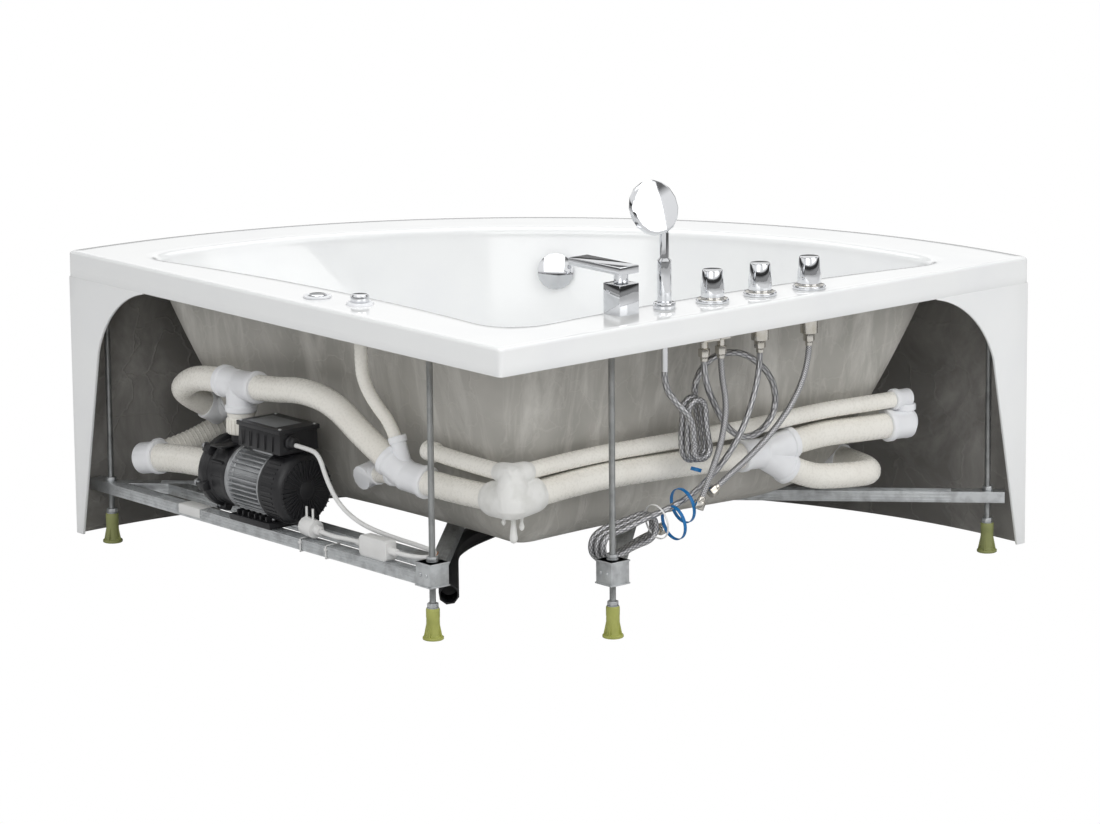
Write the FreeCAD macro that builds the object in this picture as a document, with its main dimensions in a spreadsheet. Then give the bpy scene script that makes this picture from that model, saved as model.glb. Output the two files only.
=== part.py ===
"""Corner jetted bathtub: moulded shell with a curved skirt, steel under-frame on four
threaded legs, pump, pipework, deck taps, supply hoses and the pump's mains lead.

All places are given from the wall corner: `along` runs beside the pump wall, `out` runs beside
the tap wall, and `up` starts at the floor. The origin is on the floor below the middle of the tub.
"""

import FreeCAD, Part
import math
import os
import re
from types import SimpleNamespace

import Sketcher
from FreeCAD import Placement, Rotation, Vector

os.makedirs("parts", exist_ok=True)
doc = FreeCAD.newDocument("corner_bathtub")

# ---------------------------------------------------------------- driving dimensions, mm and degrees
SIZES = """
wall_side            1350  # length of each straight side, along its wall
rim_height            595  # deck above the floor
lip_depth              53  # turned-down lip along both walls
front_centre           60  # centre of the curved front, from either wall
deck_wall               6  # acrylic and glass fibre together
basin_wall              9
skirt_wall              6
edge_round              7  # upright edges of the deck
skirt_clearance        15  # skirt's lower edge above the floor
return_foot            22  # width of the skirt's end return at its foot
return_waist           92  # and where its arch begins
arch_height           400  # where the arch begins, above the floor
arch_reach            250  # arch meets the lip this far from the skirt
arch_waist_height     482  # a point that the arch passes
arch_waist            142

basin_side            140  # basin's edge from either wall, at its widest
bulge_place           500
bulge_radius         3000  # long curve of both sides
basin_centre           99  # centre of the basin's curved front, from either wall
basin_radius         1110
basin_corner          110  # radius of its wall corner
basin_end_round       105
basin_depth           440
wall_lean              85  # how far each wall leans in at the floor
floor_round            40  # the walls turn into the floor from this far out, at 45 degrees
recline_drop           50  # both ends start to recline this far below the deck
recline_angle          61  # from level
recline_round         220  # from the floor into the reclined end

rod_dia                12
leg_inset              45  # leg rods from the nearer wall
corner_leg_pump       258  # corner leg beside the pump wall, from the corner
corner_leg_tap        303
end_leg              1288
rail_width             30
rail_height            22
rail_wall               2
rail_level            114  # middle of the rails above the floor
rail_pitch             88  # between the two pump rails
rail_start           1342  # far end of the outer pump rail
bracket_width          44
bracket_height         46
nut_width              19  # across flats
nut_height             10
foot_base_dia          40
foot_top_dia           26
foot_height            60
foot_bore_depth        44
foot_travel            25
block_size             56  # wooden block that each rod screws into, under the deck
block_height           28
rod_grip               16  # length of rod inside the block

pump_along            860  # back face of the volute
pump_out               80  # pump's axis from the pump wall
pump_level            205
volute_dia            124
volute_length          78
flange_dia            140
flange_thick           11
motor_dia             122
motor_core_dia        104
motor_length          118
fan_cover_dia       128.4
fan_cover_length       66
cover_wall              3
vent_count             12
vent_width              7
fin_count              24
fin_width               3
bolt_count              6
shaft_dia              14
impeller_dia           84
fan_dia               112
blade_count             6
box_length            118  # terminal box on the motor
box_width              88
box_height             44
pump_foot_length      120
pump_foot_width       118
pump_foot_thick        12
union_dia              58
union_length           45
tower_dia              40  # volute's outlet
union_bottom          285
tee_along             890
tee_level             380

big_pipe               50
big_fitting            61
small_pipe             32
small_fitting          39
air_pipe               25
waste_dia              40
waste_wall              3
pipe_gap              0.3  # clearance where a round face faces another

spout_along           105
spout_out             380
spout_block            47
spout_block_height     58
spout_neck_dia         28
spout_gap              19  # neck showing between block and bar
spout_pin_dia          16
spout_pin_length       30
spout_bar_length      147
spout_bar_height       15
spout_back             24  # bar behind its neck
handset_along          87
handset_out           471
handset_grip_dia       27
handset_grip_top       91
handset_neck_dia       18
handset_neck_top      140
handset_head_dia      104
handset_head_depth     20
handset_head_level    190  # middle of the head above the deck
handset_tail          120  # stiff end of the shower hose that rises with the handset
handset_ring_dia       42
handset_ring_height    12
knob_base_dia          45
knob_top_dia           39
knob_height            54
rosette_dia            63
rosette_height          8
spindle_dia            10
spindle_length         30
valve_dia              34
valve_drop             86  # bottom of the valves below the deck
diverter_along         73
diverter_out          579
hot_along              64
hot_out               692
cold_along             50
cold_out              806
port_pitch             43  # the diverter's two outlets
shank_dia              24  # threaded shanks through the deck
button_along          615
button_out             62
button_dia             54
button_cap_dia         36
button_travel           4
air_knob_along        505
air_knob_out           78
air_flange_dia         55
air_knob_dia           36
air_knob_height        14
overflow_dia           74
overflow_drop          90  # middle of the overflow below the deck
overflow_pipe_dia      32
drain_place           720  # drain from either wall
drain_dia              70
drain_body_dia         46
plug_lift              12
plug_dia               62
jet_dia                58
jet_body_dia           48
jet_body_length        62
jet_port               40  # centre of a jet's pipe socket from the shell's outer face
jet_level             300
side_jet_along        585
pipe_sides              8  # flats round each pipe
cord_sides              6
running_gap          0.05  # radial clearance of what turns or slides
shower_hose_dia        13
supply_hose_dia        12
lead_dia                9
hose_nut_width         20
hose_nut_length        16
"""

sheet = doc.addObject("Spreadsheet::Sheet", "sizes")
sizes = {}
for row, line in enumerate(filter(str.strip, SIZES.splitlines()), start=1):
    alias, number = line.split("#")[0].split()
    sheet.set(f"A{row}", alias)
    sheet.set(f"B{row}", number)
    sheet.setAlias(f"B{row}", alias)
    sizes[alias] = float(number)
doc.recompute()
size = SimpleNamespace(**sizes)

# ---------------------------------------------------------------- places and directions
half = size.wall_side / 2
UP = Vector(0, 0, 1)
ALONG = Vector(1, 0, 0)
OUT = Vector(0, -1, 0)
LEVEL = Rotation()
TO_ALONG = Rotation(UP, ALONG)
TO_CORNER = Rotation(UP, -ALONG)
lean = size.wall_lean / size.basin_depth
recline = math.radians(size.recline_angle)


def spot(along, out, up):
    """A point given from the wall corner, in the part's own frame."""
    return Vector(along - half, half - out, up)


def heading(along, out, up):
    """A direction given the same way."""
    return Vector(along, -out, up).normalize()


def bound(formula):
    """A formula in size names, pointed at the sheet's cells."""
    return re.sub(r"[a-z]\w+", lambda word: f"sizes.{word.group()}", str(formula))


# ---------------------------------------------------------------- ways of making a piece
nodes = {}


def keep(piece, name=None):
    """Put a finished sub-part on the list; its label names its file."""
    piece.Label = name or piece.Name
    nodes[piece.Label] = piece
    return piece


def place(piece, along, out, up, turn=LEVEL):
    """Set a piece down by formulas for its place."""
    piece.Placement = Placement(Vector(), turn)
    piece.setExpression("Placement.Base.x", bound(f"({along}) - wall_side / 2"))
    piece.setExpression("Placement.Base.y", bound(f"wall_side / 2 - ({out})"))
    piece.setExpression("Placement.Base.z", bound(up))
    return piece


def sketched(name, corners):
    """A closed outline of straight sides, each corner given by two formulas."""
    sketch = doc.addObject("Sketcher::SketchObject", name)
    count = len(corners)
    angles = [2 * math.pi * index / count for index in range(count)]
    rough = [Vector(60 + 40 * math.cos(angle), 40 * math.sin(angle), 0) for angle in angles]
    for index in range(count):
        sketch.addGeometry(Part.LineSegment(rough[index], rough[(index + 1) % count]))
    for index, corner in enumerate(corners):
        sketch.addConstraint(Sketcher.Constraint("Coincident", index, 2, (index + 1) % count, 1))
        guesses = (rough[index].x, rough[index].y)
        for kind, axis, formula, guess in zip(("DistanceX", "DistanceY"), (-2, -1), corner, guesses):
            if formula == "0":
                sketch.addConstraint(Sketcher.Constraint("PointOnObject", index, 1, axis))
                continue
            number = sketch.addConstraint(Sketcher.Constraint(kind, -1, 1, index, 1, guess))
            sketch.setExpression(f"Constraints[{number}]", bound(formula))
    return sketch


def lathe(name, corners):
    """A turned piece: its half section given as radius and height."""
    body = doc.addObject("PartDesign::Body", name)
    sketch = sketched(f"{name}_section", corners)
    body.addObject(sketch)
    support = next(part for part in body.Origin.OriginFeatures if part.Role == "XZ_Plane")
    sketch.AttachmentSupport = [(support, "")]
    sketch.MapMode = "FlatFace"
    turned = body.newObject("PartDesign::Revolution", f"{name}_turned")
    turned.Profile = sketch
    turned.ReferenceAxis = (sketch, ["V_Axis"])
    turned.Angle = 360
    sketch.Visibility = False
    return body


def facet(name, corners, sides):
    """The same with flats all round, for what needs no true circle; it starts and ends on its axis."""
    sketch = sketched(f"{name}_section", corners)
    doc.recompute()
    section = [line.StartPoint for line in sketch.Geometry]
    ways = [Rotation(UP, 360 / sides * index).multVec(ALONG) for index in range(sides + 1)]
    rings = [[way * point.x + UP * point.y for way in ways] for point in section]
    faces = []
    for ring, after in zip(rings, rings[1:]):
        if (ring[0] - after[0]).Length < 0.001:
            continue
        for index in range(sides):
            loop = [ring[index], ring[index + 1], after[index + 1], after[index]]
            corners_apart = [loop[0]]
            for point in loop[1:]:
                if all(point.distanceToPoint(other) > 0.001 for other in corners_apart):
                    corners_apart.append(point)
            faces.append(Part.Face(Part.makePolygon(corners_apart + [corners_apart[0]])))
    solid = Part.Solid(Part.Shell(faces))
    if solid.Volume < 0:
        solid.reverse()
    return made(name, solid.removeSplitter())


def cylinder(name, dia, height):
    piece = doc.addObject("Part::Cylinder", name)
    piece.setExpression("Radius", bound(f"({dia}) / 2"))
    piece.setExpression("Height", bound(height))
    return piece


def block(name, along, out, height):
    """A block whose low corner is its own origin."""
    piece = doc.addObject("Part::Box", name)
    piece.setExpression("Length", bound(along))
    piece.setExpression("Width", bound(out))
    piece.setExpression("Height", bound(height))
    return piece


def centred(piece, along, out, up):
    """Set a block down with the middle of its footprint at a place."""
    lengths = [f"({formula})" for _, formula in sorted(block_sides[piece.Name].items())]
    return place(piece, f"{along} - {lengths[0]} / 2", f"{out} + {lengths[1]} / 2", up)


block_sides = {}


def slab_block(name, length, width, height, along, out, up):
    """A block given by its sides and the middle of its footprint."""
    block_sides[name] = {"a": length, "b": width}
    return centred(block(name, length, width, height), along, out, up)


def hexagon(name, width, height):
    """A six-sided nut blank, by its width across flats."""
    piece = doc.addObject("Part::Prism", name)
    piece.Polygon = 6
    piece.setExpression("Circumradius", bound(f"({width}) / {math.sqrt(3):.6f}"))
    piece.setExpression("Height", bound(height))
    return piece


def united(name, *pieces):
    union = doc.addObject("Part::MultiFuse", name)
    union.Shapes = pieces
    union.Refine = True
    return union


def less(name, base, tool):
    rest = doc.addObject("Part::Cut", name)
    rest.Base = base
    rest.Tool = tool
    return rest


def together(name, pieces):
    """Like pieces in one sub-part, each still a solid of its own."""
    group = doc.addObject("Part::Compound", name)
    group.Links = list(pieces)
    return group


def made(name, shape):
    """A piece whose shape is worked out directly from the sizes."""
    piece = doc.addObject("Part::Feature", name)
    piece.Shape = shape
    return piece


def ring_cut(shape, *tools):
    for tool in tools:
        shape = shape.cut(tool)
    return shape


def bar(start, direction, length, dia):
    """A plain round bar."""
    return Part.makeCylinder(dia / 2, length, start, direction)


# ---------------------------------------------------------------- moulded shell and skirt
def meet(centre_1, radius_1, centre_2, radius_2, near):
    """Where two circles cross, on the side nearest to a point."""
    apart = math.dist(centre_1, centre_2)
    foot = (apart ** 2 + radius_1 ** 2 - radius_2 ** 2) / (2 * apart)
    rise = math.sqrt(radius_1 ** 2 - foot ** 2)
    unit = ((centre_2[0] - centre_1[0]) / apart, (centre_2[1] - centre_1[1]) / apart)
    middle = (centre_1[0] + foot * unit[0], centre_1[1] + foot * unit[1])
    crossings = [
        (middle[0] - side * rise * unit[1], middle[1] + side * rise * unit[0]) for side in (1, -1)
    ]
    return min(crossings, key=lambda point: math.dist(point, near))


def beyond(start, through, length):
    """The point that far from a start, on the line through another point."""
    share = length / math.dist(start, through)
    return tuple(a + (b - a) * share for a, b in zip(start, through))


pump_side = (size.bulge_place, size.basin_side - size.bulge_radius)
tap_side = pump_side[::-1]
front = (size.basin_centre, size.basin_centre)
corner_round = meet(
    pump_side, size.bulge_radius + size.basin_corner, tap_side, size.bulge_radius + size.basin_corner, (0, 0)
)
pump_end_round = meet(
    pump_side, size.bulge_radius + size.basin_end_round, front, size.basin_radius - size.basin_end_round,
    (size.wall_side, 0)
)
floor_level = size.rim_height - size.basin_depth
recline_start = size.basin_centre + size.basin_radius - lean * size.recline_drop
recline_top = size.rim_height - size.recline_drop


def recline_curve(grow):
    """Where the floor ends, and where its curve into the reclined end stops."""
    radius = size.recline_round + grow
    stop_up = floor_level + size.recline_round - radius * math.cos(recline)
    line_along = recline_start + grow * math.sin(recline)
    line_up = recline_top - grow * math.cos(recline)
    stop = line_along - (line_up - stop_up) / math.tan(recline)
    return stop - radius * math.sin(recline), stop, stop_up, radius


def end_wall(up, grow):
    """Distance of a reclined end from the corner at a level, and its steepness there."""
    flat_end, stop, stop_up, radius = recline_curve(grow)
    if up > stop_up:
        return stop + (up - stop_up) / math.tan(recline), recline
    angle = math.acos((floor_level + size.recline_round - up) / radius)
    return flat_end + radius * math.sin(angle), angle


def basin(grow):
    """The basin's hollow, or the same form grown all round by its wall."""
    margin = 80
    low = floor_level - margin
    height = size.basin_depth + margin
    reach = 180

    def leaning(centre, radius, sign, seam=135):
        base = spot(*centre, low)
        cone = Part.makeCone(radius - sign * lean * height, radius, height, base)
        cone.rotate(base, UP, seam)
        return cone

    body = leaning(front, size.basin_radius + grow, 1)
    for centre in (pump_side, tap_side):
        body = body.cut(leaning(centre, size.bulge_radius - grow, -1))

    def rounded(body, centre, radius, towards, tip, seam):
        outline = [centre, towards[0], tip, towards[1], centre]
        face = Part.Face(Part.makePolygon([spot(*corner, low - 1) for corner in outline]))
        wedge = face.extrude(UP * (height + 2))
        return body.cut(wedge.cut(leaning(centre, radius + grow, 1, seam)))

    near, far = size.front_centre, size.wall_side - size.front_centre
    corner_ways = [beyond(corner_round, side, reach) for side in (pump_side, tap_side)]
    body = rounded(body, corner_round, size.basin_corner, corner_ways, (near, near), -45)
    from_front = math.dist(front, pump_end_round) + reach
    end_ways = [beyond(pump_end_round, pump_side, reach), beyond(front, pump_end_round, from_front)]
    body = rounded(body, pump_end_round, size.basin_end_round, end_ways, (far, near), 135)
    swapped = [way[::-1] for way in end_ways]
    body = rounded(body, pump_end_round[::-1], size.basin_end_round, swapped, (near, far), 135)
    body = body.removeSplitter()

    flat_end, stop, stop_up, radius = recline_curve(grow)
    middle = (
        flat_end + radius * math.sin(recline / 2),
        floor_level + size.recline_round - radius * math.cos(recline / 2),
    )
    top = size.rim_height + size.wall_side
    far_end = stop + (top - stop_up) / math.tan(recline)
    floor = floor_level - grow
    for point, push in (
        (lambda across, up: spot(across, -margin, up), OUT),
        (lambda across, up: spot(-margin, across, up), ALONG),
    ):
        profile = Part.Wire([
            Part.LineSegment(point(-margin, top), point(-margin, floor)).toShape(),
            Part.LineSegment(point(-margin, floor), point(flat_end, floor)).toShape(),
            Part.Arc(point(flat_end, floor), point(*middle), point(stop, stop_up)).toShape(),
            Part.LineSegment(point(stop, stop_up), point(far_end, top)).toShape(),
            Part.LineSegment(point(far_end, top), point(-margin, top)).toShape(),
        ])
        body = body.common(Part.Face(profile).extrude(push * (size.wall_side + 4 * margin)))
    return body.Solids[0].removeSplitter()


def floor_band(body):
    """Turn the lowest part of the curved front and of both long sides at 45 degrees."""
    band = size.floor_round
    level = floor_level + band
    drop = lean * (size.rim_height - level)
    base = floor_level - 1
    rise = band + 1
    wide = size.basin_radius - drop
    keep_in = Part.makeCone(wide - rise, wide, rise, spot(*front, base))
    keep_in.rotate(spot(*front, base), UP, 135)
    for centre in (pump_side, tap_side):
        radius = size.bulge_radius + drop
        side = Part.makeCone(radius + rise, radius, rise, spot(*centre, base))
        side.rotate(spot(*centre, base), UP, 135)
        keep_in = keep_in.cut(side)
    above = Part.makeBox(2 * size.wall_side, 2 * size.wall_side, size.wall_side)
    above.translate(Vector(-size.wall_side, -size.wall_side, level))
    return body.common(above).fuse(body.common(keep_in)).removeSplitter()


def footprint(inset, low, high):
    """The tub's outline, moved in and raised from one level to another."""
    side, centre = size.wall_side, size.front_centre
    radius = side - centre - inset
    slant = radius * math.sqrt(0.5)
    outline = Part.Wire([
        Part.LineSegment(spot(inset, inset, low), spot(side - inset, inset, low)).toShape(),
        Part.LineSegment(spot(side - inset, inset, low), spot(side - inset, centre, low)).toShape(),
        Part.Arc(
            spot(side - inset, centre, low),
            spot(centre + slant, centre + slant, low),
            spot(centre, side - inset, low),
        ).toShape(),
        Part.LineSegment(spot(centre, side - inset, low), spot(inset, side - inset, low)).toShape(),
        Part.LineSegment(spot(inset, side - inset, low), spot(inset, inset, low)).toShape(),
    ])
    solid = Part.Face(outline).extrude(UP * (high - low))
    rounding = size.edge_round - inset
    if rounding < 0.5:
        return solid
    uprights = []
    for edge in solid.Edges:
        middle = edge.CenterOfMass
        at_wall = min(middle.x + half, half - middle.y) < inset + 0.5
        if edge.BoundBox.ZLength > high - low - 0.5 and at_wall:
            uprights.append(edge)
    return solid.makeFillet(rounding, uprights)


def level_edges(solid, level):
    return [e for e in solid.Edges if abs(e.BoundBox.ZMin - level) < 0.01 and e.BoundBox.ZLength < 0.01]


class Fixing:
    """Where a fitting passes through the shell: a point on its outer face, and the way out."""

    def __init__(self, point, way):
        self.point = point
        self.way = way

    def away(self, distance):
        return self.point + self.way * distance


def front_fixing(drop):
    """On the basin's curved front, on the diagonal."""
    radius = size.basin_radius - lean * drop + size.basin_wall
    place_ = size.basin_centre + radius * math.sqrt(0.5)
    tilt = math.atan(lean)
    flat = math.cos(tilt) * math.sqrt(0.5)
    return Fixing(spot(place_, place_, size.rim_height - drop), heading(flat, flat, -math.sin(tilt)))


def end_fixing(across, up, beside_taps):
    """On a reclined end, that far from its own wall."""
    distance, angle = end_wall(up, size.basin_wall)
    if beside_taps:
        return Fixing(spot(across, distance, up), heading(0, math.sin(angle), -math.cos(angle)))
    return Fixing(spot(distance, across, up), heading(math.sin(angle), 0, -math.cos(angle)))


def side_fixing(along, up):
    """On the basin's long side beside the pump wall."""
    radius = size.bulge_radius + lean * (size.rim_height - up) - size.basin_wall
    across = along - pump_side[0]
    out = pump_side[1] + math.sqrt(radius ** 2 - across ** 2)
    tilt = math.atan(lean)
    way = Vector(-across, out - pump_side[1], 0).normalize() * math.cos(tilt)
    return Fixing(spot(along, out, up), Vector(way.x, way.y, -math.sin(tilt)))


drain_floor = floor_level - size.basin_wall
overflow = front_fixing(size.overflow_drop)
lounge_jet = end_fixing(190, size.jet_level, False)
suction = end_fixing(330, size.jet_level, False)
tap_jet = end_fixing(240, size.jet_level, True)
low_jet = end_fixing(255, 224, True)
side_jet = side_fixing(size.side_jet_along, size.jet_level - 50)
jets = (lounge_jet, suction, tap_jet, low_jet, side_jet)
jet_hole = size.jet_body_dia - 12

DECK_HOLES = (
    (size.spout_along, size.spout_out, size.shank_dia),
    (size.handset_along, size.handset_out, size.shank_dia),
    (size.diverter_along, size.diverter_out, size.shank_dia),
    (size.hot_along, size.hot_out, size.shank_dia),
    (size.cold_along, size.cold_out, size.shank_dia),
    (size.button_along, size.button_out, size.button_dia - 10),
    (size.air_knob_along, size.air_knob_out, size.shank_dia + 6),
)


def tub_shell():
    deck_low = size.rim_height - size.lip_depth
    shell = footprint(0, deck_low, size.rim_height)
    shell = shell.cut(footprint(size.deck_wall, deck_low - 1, size.rim_height - size.deck_wall))
    under_deck = Part.makeBox(2 * size.wall_side, 2 * size.wall_side, size.rim_height - 1)
    under_deck.translate(Vector(-size.wall_side, -size.wall_side, 0))
    shell = shell.fuse(basin(size.basin_wall).common(under_deck)).cut(floor_band(basin(0)))
    for along, out, dia in DECK_HOLES:
        shell = shell.cut(bar(spot(along, out, size.rim_height - 30), UP, 60, dia + 2 * size.pipe_gap))
    through = 3 * size.basin_wall
    for fixing in (*jets, overflow):
        hole = bar(fixing.away(-1.5 * through), fixing.way, 2 * through, jet_hole + 2 * size.pipe_gap)
        shell = shell.cut(hole)
    drain = spot(size.drain_place, size.drain_place, drain_floor - through)
    return shell.cut(bar(drain, UP, 3 * through, size.drain_body_dia + 2 * size.pipe_gap))


def apron_skirt():
    high = size.rim_height - size.lip_depth
    skirt = footprint(0, size.skirt_clearance, high)
    skirt = skirt.cut(footprint(size.skirt_wall, size.skirt_clearance - 1, high + 1))
    side = size.wall_side
    slope = (size.return_waist - size.return_foot) / (size.arch_height - size.skirt_clearance)
    foot = side - size.return_foot + slope * (size.skirt_clearance + 5)
    reach = side - size.arch_reach
    for point, push in (
        (lambda across, up: spot(across, -5, up), OUT),
        (lambda across, up: spot(-5, across, up), ALONG),
    ):
        arch = Part.Wire([
            Part.LineSegment(point(-5, -5), point(foot, -5)).toShape(),
            Part.LineSegment(point(foot, -5), point(side - size.return_waist, size.arch_height)).toShape(),
            Part.Arc(
                point(side - size.return_waist, size.arch_height),
                point(side - size.arch_waist, size.arch_waist_height),
                point(reach, high - 2),
            ).toShape(),
            Part.LineSegment(point(reach, high - 2), point(reach, high + 5)).toShape(),
            Part.LineSegment(point(reach, high + 5), point(-5, high + 5)).toShape(),
            Part.LineSegment(point(-5, high + 5), point(-5, -5)).toShape(),
        ])
        skirt = skirt.cut(Part.Face(arch).extrude(push * (size.skirt_wall + 9)))
    return skirt


keep(made("tub_shell", tub_shell()))
keep(made("apron_skirt", apron_skirt()))

# ---------------------------------------------------------------- under-frame
legs = {
    "pump_corner": ("corner_leg_pump", "leg_inset"),
    "tap_corner": ("leg_inset", "corner_leg_tap"),
    "pump_end": ("end_leg", "leg_inset"),
    "tap_end": ("leg_inset", "end_leg"),
}
deck_underside = "rim_height - deck_wall"
rod_foot = "foot_height - foot_bore_depth + 2"
rod_top = f"{deck_underside} - block_height + rod_grip"
rail_top = "rail_level + rail_height / 2"

keep(together("leg_rods", [
    place(cylinder(f"{leg}_rod", "rod_dia", f"{rod_top} - ({rod_foot})"), *where, rod_foot)
    for leg, where in legs.items()
]))


def nut(name, where, up):
    blank = place(hexagon(f"{name}_blank", "nut_width", "nut_height"), *where, up)
    hole = place(cylinder(f"{name}_hole", "rod_dia + 2 * running_gap", "nut_height + 2"), *where, f"{up} - 1")
    return less(name, blank, hole)


nuts = []
for leg, where in legs.items():
    corner = "corner" in leg
    clamped_top = f"{rail_top} + bracket_height - rail_height" if corner else rail_top
    nuts.append(nut(f"{leg}_top_nut", where, clamped_top))
    nuts.append(nut(f"{leg}_lock_nut", where, "foot_height"))
keep(together("leg_nuts", nuts))

rod_bore = "rod_dia + 2 * running_gap"
block_low = f"{deck_underside} - block_height"
blocks = []
for leg, where in legs.items():
    timber = slab_block(f"{leg}_timber", "block_size", "block_size", "block_height", *where, block_low)
    socket = place(cylinder(f"{leg}_socket", rod_bore, "rod_grip + 1"), *where, f"{block_low} - 1")
    blocks.append(less(f"{leg}_block", timber, socket))
keep(together("deck_blocks", blocks))

strap_low = "rail_level - rail_height / 2"
brackets = []
for leg in ("pump_corner", "tap_corner"):
    where = legs[leg]
    solid = slab_block(f"{leg}_strap", "bracket_width", "bracket_width", "bracket_height", *where, strap_low)
    hole = place(cylinder(f"{leg}_strap_hole", rod_bore, "bracket_height + 2"), *where, f"{strap_low} - 1")
    brackets.append(less(f"{leg}_bracket", solid, hole))
keep(together("leg_brackets", brackets))


def rail(start, end, hollow=True):
    """A box-section rail between two places, level with the others."""
    run = spot(*end, 0) - spot(*start, 0)
    low = size.rail_level - size.rail_height / 2
    shape = Part.makeBox(run.Length, size.rail_width, size.rail_height, Vector(0, -size.rail_width / 2, 0))
    if hollow:
        wall = size.rail_wall
        inner = Vector(-1, wall - size.rail_width / 2, wall)
        width, height = size.rail_width - 2 * wall, size.rail_height - 2 * wall
        shape = shape.cut(Part.makeBox(run.Length + 2, width, height, inner))
    shape.Placement = Placement(spot(*start, low), Rotation(ALONG, run))
    return shape


def rod_hole(along, out):
    low = spot(along, out, size.rail_level - size.rail_height)
    return bar(low, UP, 2 * size.rail_height, size.rod_dia + 2 * size.running_gap)


bracket_edge = size.bracket_width / 2
outer_ends = ((size.rail_start, size.leg_inset), (size.corner_leg_pump + bracket_edge, size.leg_inset))
chord_sum = size.end_leg + size.leg_inset
chord_ends = ((size.end_leg, size.leg_inset), (size.leg_inset - 24, size.end_leg + 24))
inner_out = size.leg_inset + size.rail_pitch


def meet_chord(along, out):
    """Where a diagonal from a corner leg reaches the chord rail."""
    step = (chord_sum - along - out) / 2
    return along + step, out + step


pump_diagonal = ((size.corner_leg_pump, size.leg_inset), meet_chord(size.corner_leg_pump, size.leg_inset))
tap_diagonal = ((size.leg_inset, size.corner_leg_tap), meet_chord(size.leg_inset, size.corner_leg_tap))
outer_block = rail(*outer_ends, hollow=False)
chord_block = rail(*chord_ends, hollow=False).cut(outer_block)
bracket_blocks = [
    Part.makeBox(
        size.bracket_width, size.bracket_width, size.bracket_height,
        spot(along - bracket_edge, out + bracket_edge, size.rail_level - size.rail_height / 2),
    )
    for along, out in (pump_diagonal[0], tap_diagonal[0])
]
diagonal_blocks = [rail(*ends, hollow=False) for ends in (pump_diagonal, tap_diagonal)]

rail_outer = rail(*outer_ends).cut(rod_hole(size.end_leg, size.leg_inset))
keep(made("rail_outer", rail_outer))
rail_chord = ring_cut(rail(*chord_ends), outer_block, rod_hole(size.leg_inset, size.end_leg))
keep(made("rail_chord", rail_chord))
diagonals = [
    ring_cut(rail(*ends), chord_block, outer_block, *bracket_blocks) for ends in (pump_diagonal, tap_diagonal)
]
keep(made("rail_diagonals", Part.makeCompound([shape.Solids[0] for shape in diagonals])))
inner_ends = ((chord_sum - inner_out, inner_out), (size.corner_leg_pump + size.rail_pitch, inner_out))
rail_inner = ring_cut(rail(*inner_ends), chord_block, *diagonal_blocks)
keep(made("rail_inner", rail_inner.Solids[0]))

for leg, where in legs.items():
    cone = facet(f"foot_cone_{leg}", [
        ("0", "0"),
        ("foot_base_dia / 2", "0"),
        ("foot_base_dia / 2", "6"),
        ("foot_top_dia / 2", "foot_height - 18"),
        ("foot_top_dia / 2", "foot_height"),
        ("0", "foot_height"),
    ], 12)
    place(cone, *where, "0")
    thread = cylinder(f"foot_bore_{leg}", "rod_dia + 2 * running_gap", "foot_bore_depth + 1")
    place(thread, *where, "foot_height - foot_bore_depth")
    keep(less(f"foot_{leg}", cone, thread))

# ---------------------------------------------------------------- pump
shaft_hole = "shaft_dia + 2 * running_gap"
ROUND = 16


def on_pump(piece, forward="0", turn=0):
    """Set a piece on the pump's axis, facing the far end of the pump wall."""
    facing = TO_ALONG.multiply(Rotation(UP, turn))
    return place(piece, f"pump_along + {forward}", "pump_out", "pump_level", facing)


volute_shell = on_pump(facet("volute_shell", [
    ("0", "0"),
    ("volute_dia / 2", "0"),
    ("volute_dia / 2", "volute_length - flange_thick"),
    ("flange_dia / 2", "volute_length - flange_thick"),
    ("flange_dia / 2", "volute_length"),
    ("0", "volute_length"),
], ROUND))
tower_place = ("tee_along", "pump_out")
tower_low = "pump_level + volute_dia / 2 - 12"
tower = place(cylinder("outlet_tower", "tower_dia", f"union_bottom - ({tower_low})"), *tower_place, tower_low)
lugs = []
for index in range(int(size.bolt_count)):
    lug = block(f"clamp_lug_{index + 1}", "flange_dia / 2 + 7", "14", "flange_thick")
    lugs.append(on_pump(lug, "volute_length - flange_thick", 360 / size.bolt_count * index + 12))
housing = united("volute_housing", volute_shell, tower, *lugs)
chamber = on_pump(facet("pump_chamber", [
    ("0", "20"),
    ("impeller_dia / 2 + 4", "20"),
    ("impeller_dia / 2 + 4", "volute_length - 14"),
    ("union_dia / 2 - 10", "volute_length - 14"),
    ("union_dia / 2 - 10", "volute_length + 1"),
    ("0", "volute_length + 1"),
], ROUND))
shaft_way = on_pump(cylinder("volute_shaft_hole", shaft_hole, "30"), "-1")
bore = place(cylinder("outlet_bore", "tower_dia - 12", "union_bottom - pump_level - impeller_dia / 2 + 1"),
             *tower_place, "pump_level + impeller_dia / 2")
keep(less("pump_volute", housing, united("volute_hollow", chamber, shaft_way, bore)))

motor_core = facet("motor_core", [
    ("0", "0"),
    ("motor_dia / 2", "0"),
    ("motor_dia / 2", "6"),
    ("motor_core_dia / 2", "6"),
    ("motor_core_dia / 2", "motor_length - 6"),
    ("motor_dia / 2", "motor_length - 6"),
    ("motor_dia / 2", "motor_length"),
    ("0", "motor_length"),
], ROUND)
motor_back = "0 - motor_length"
on_pump(motor_core, motor_back)
fins = []
for index in range(int(size.fin_count)):
    fin = block(f"cooling_fin_{index + 1}", "motor_dia / 2 - 1", "fin_width", "motor_length - 8")
    fins.append(on_pump(fin, "4 - motor_length", 360 / size.fin_count * index))
armature_hole = on_pump(cylinder("motor_shaft_hole", shaft_hole, "motor_length + 2"), "-1 - motor_length")

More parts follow.
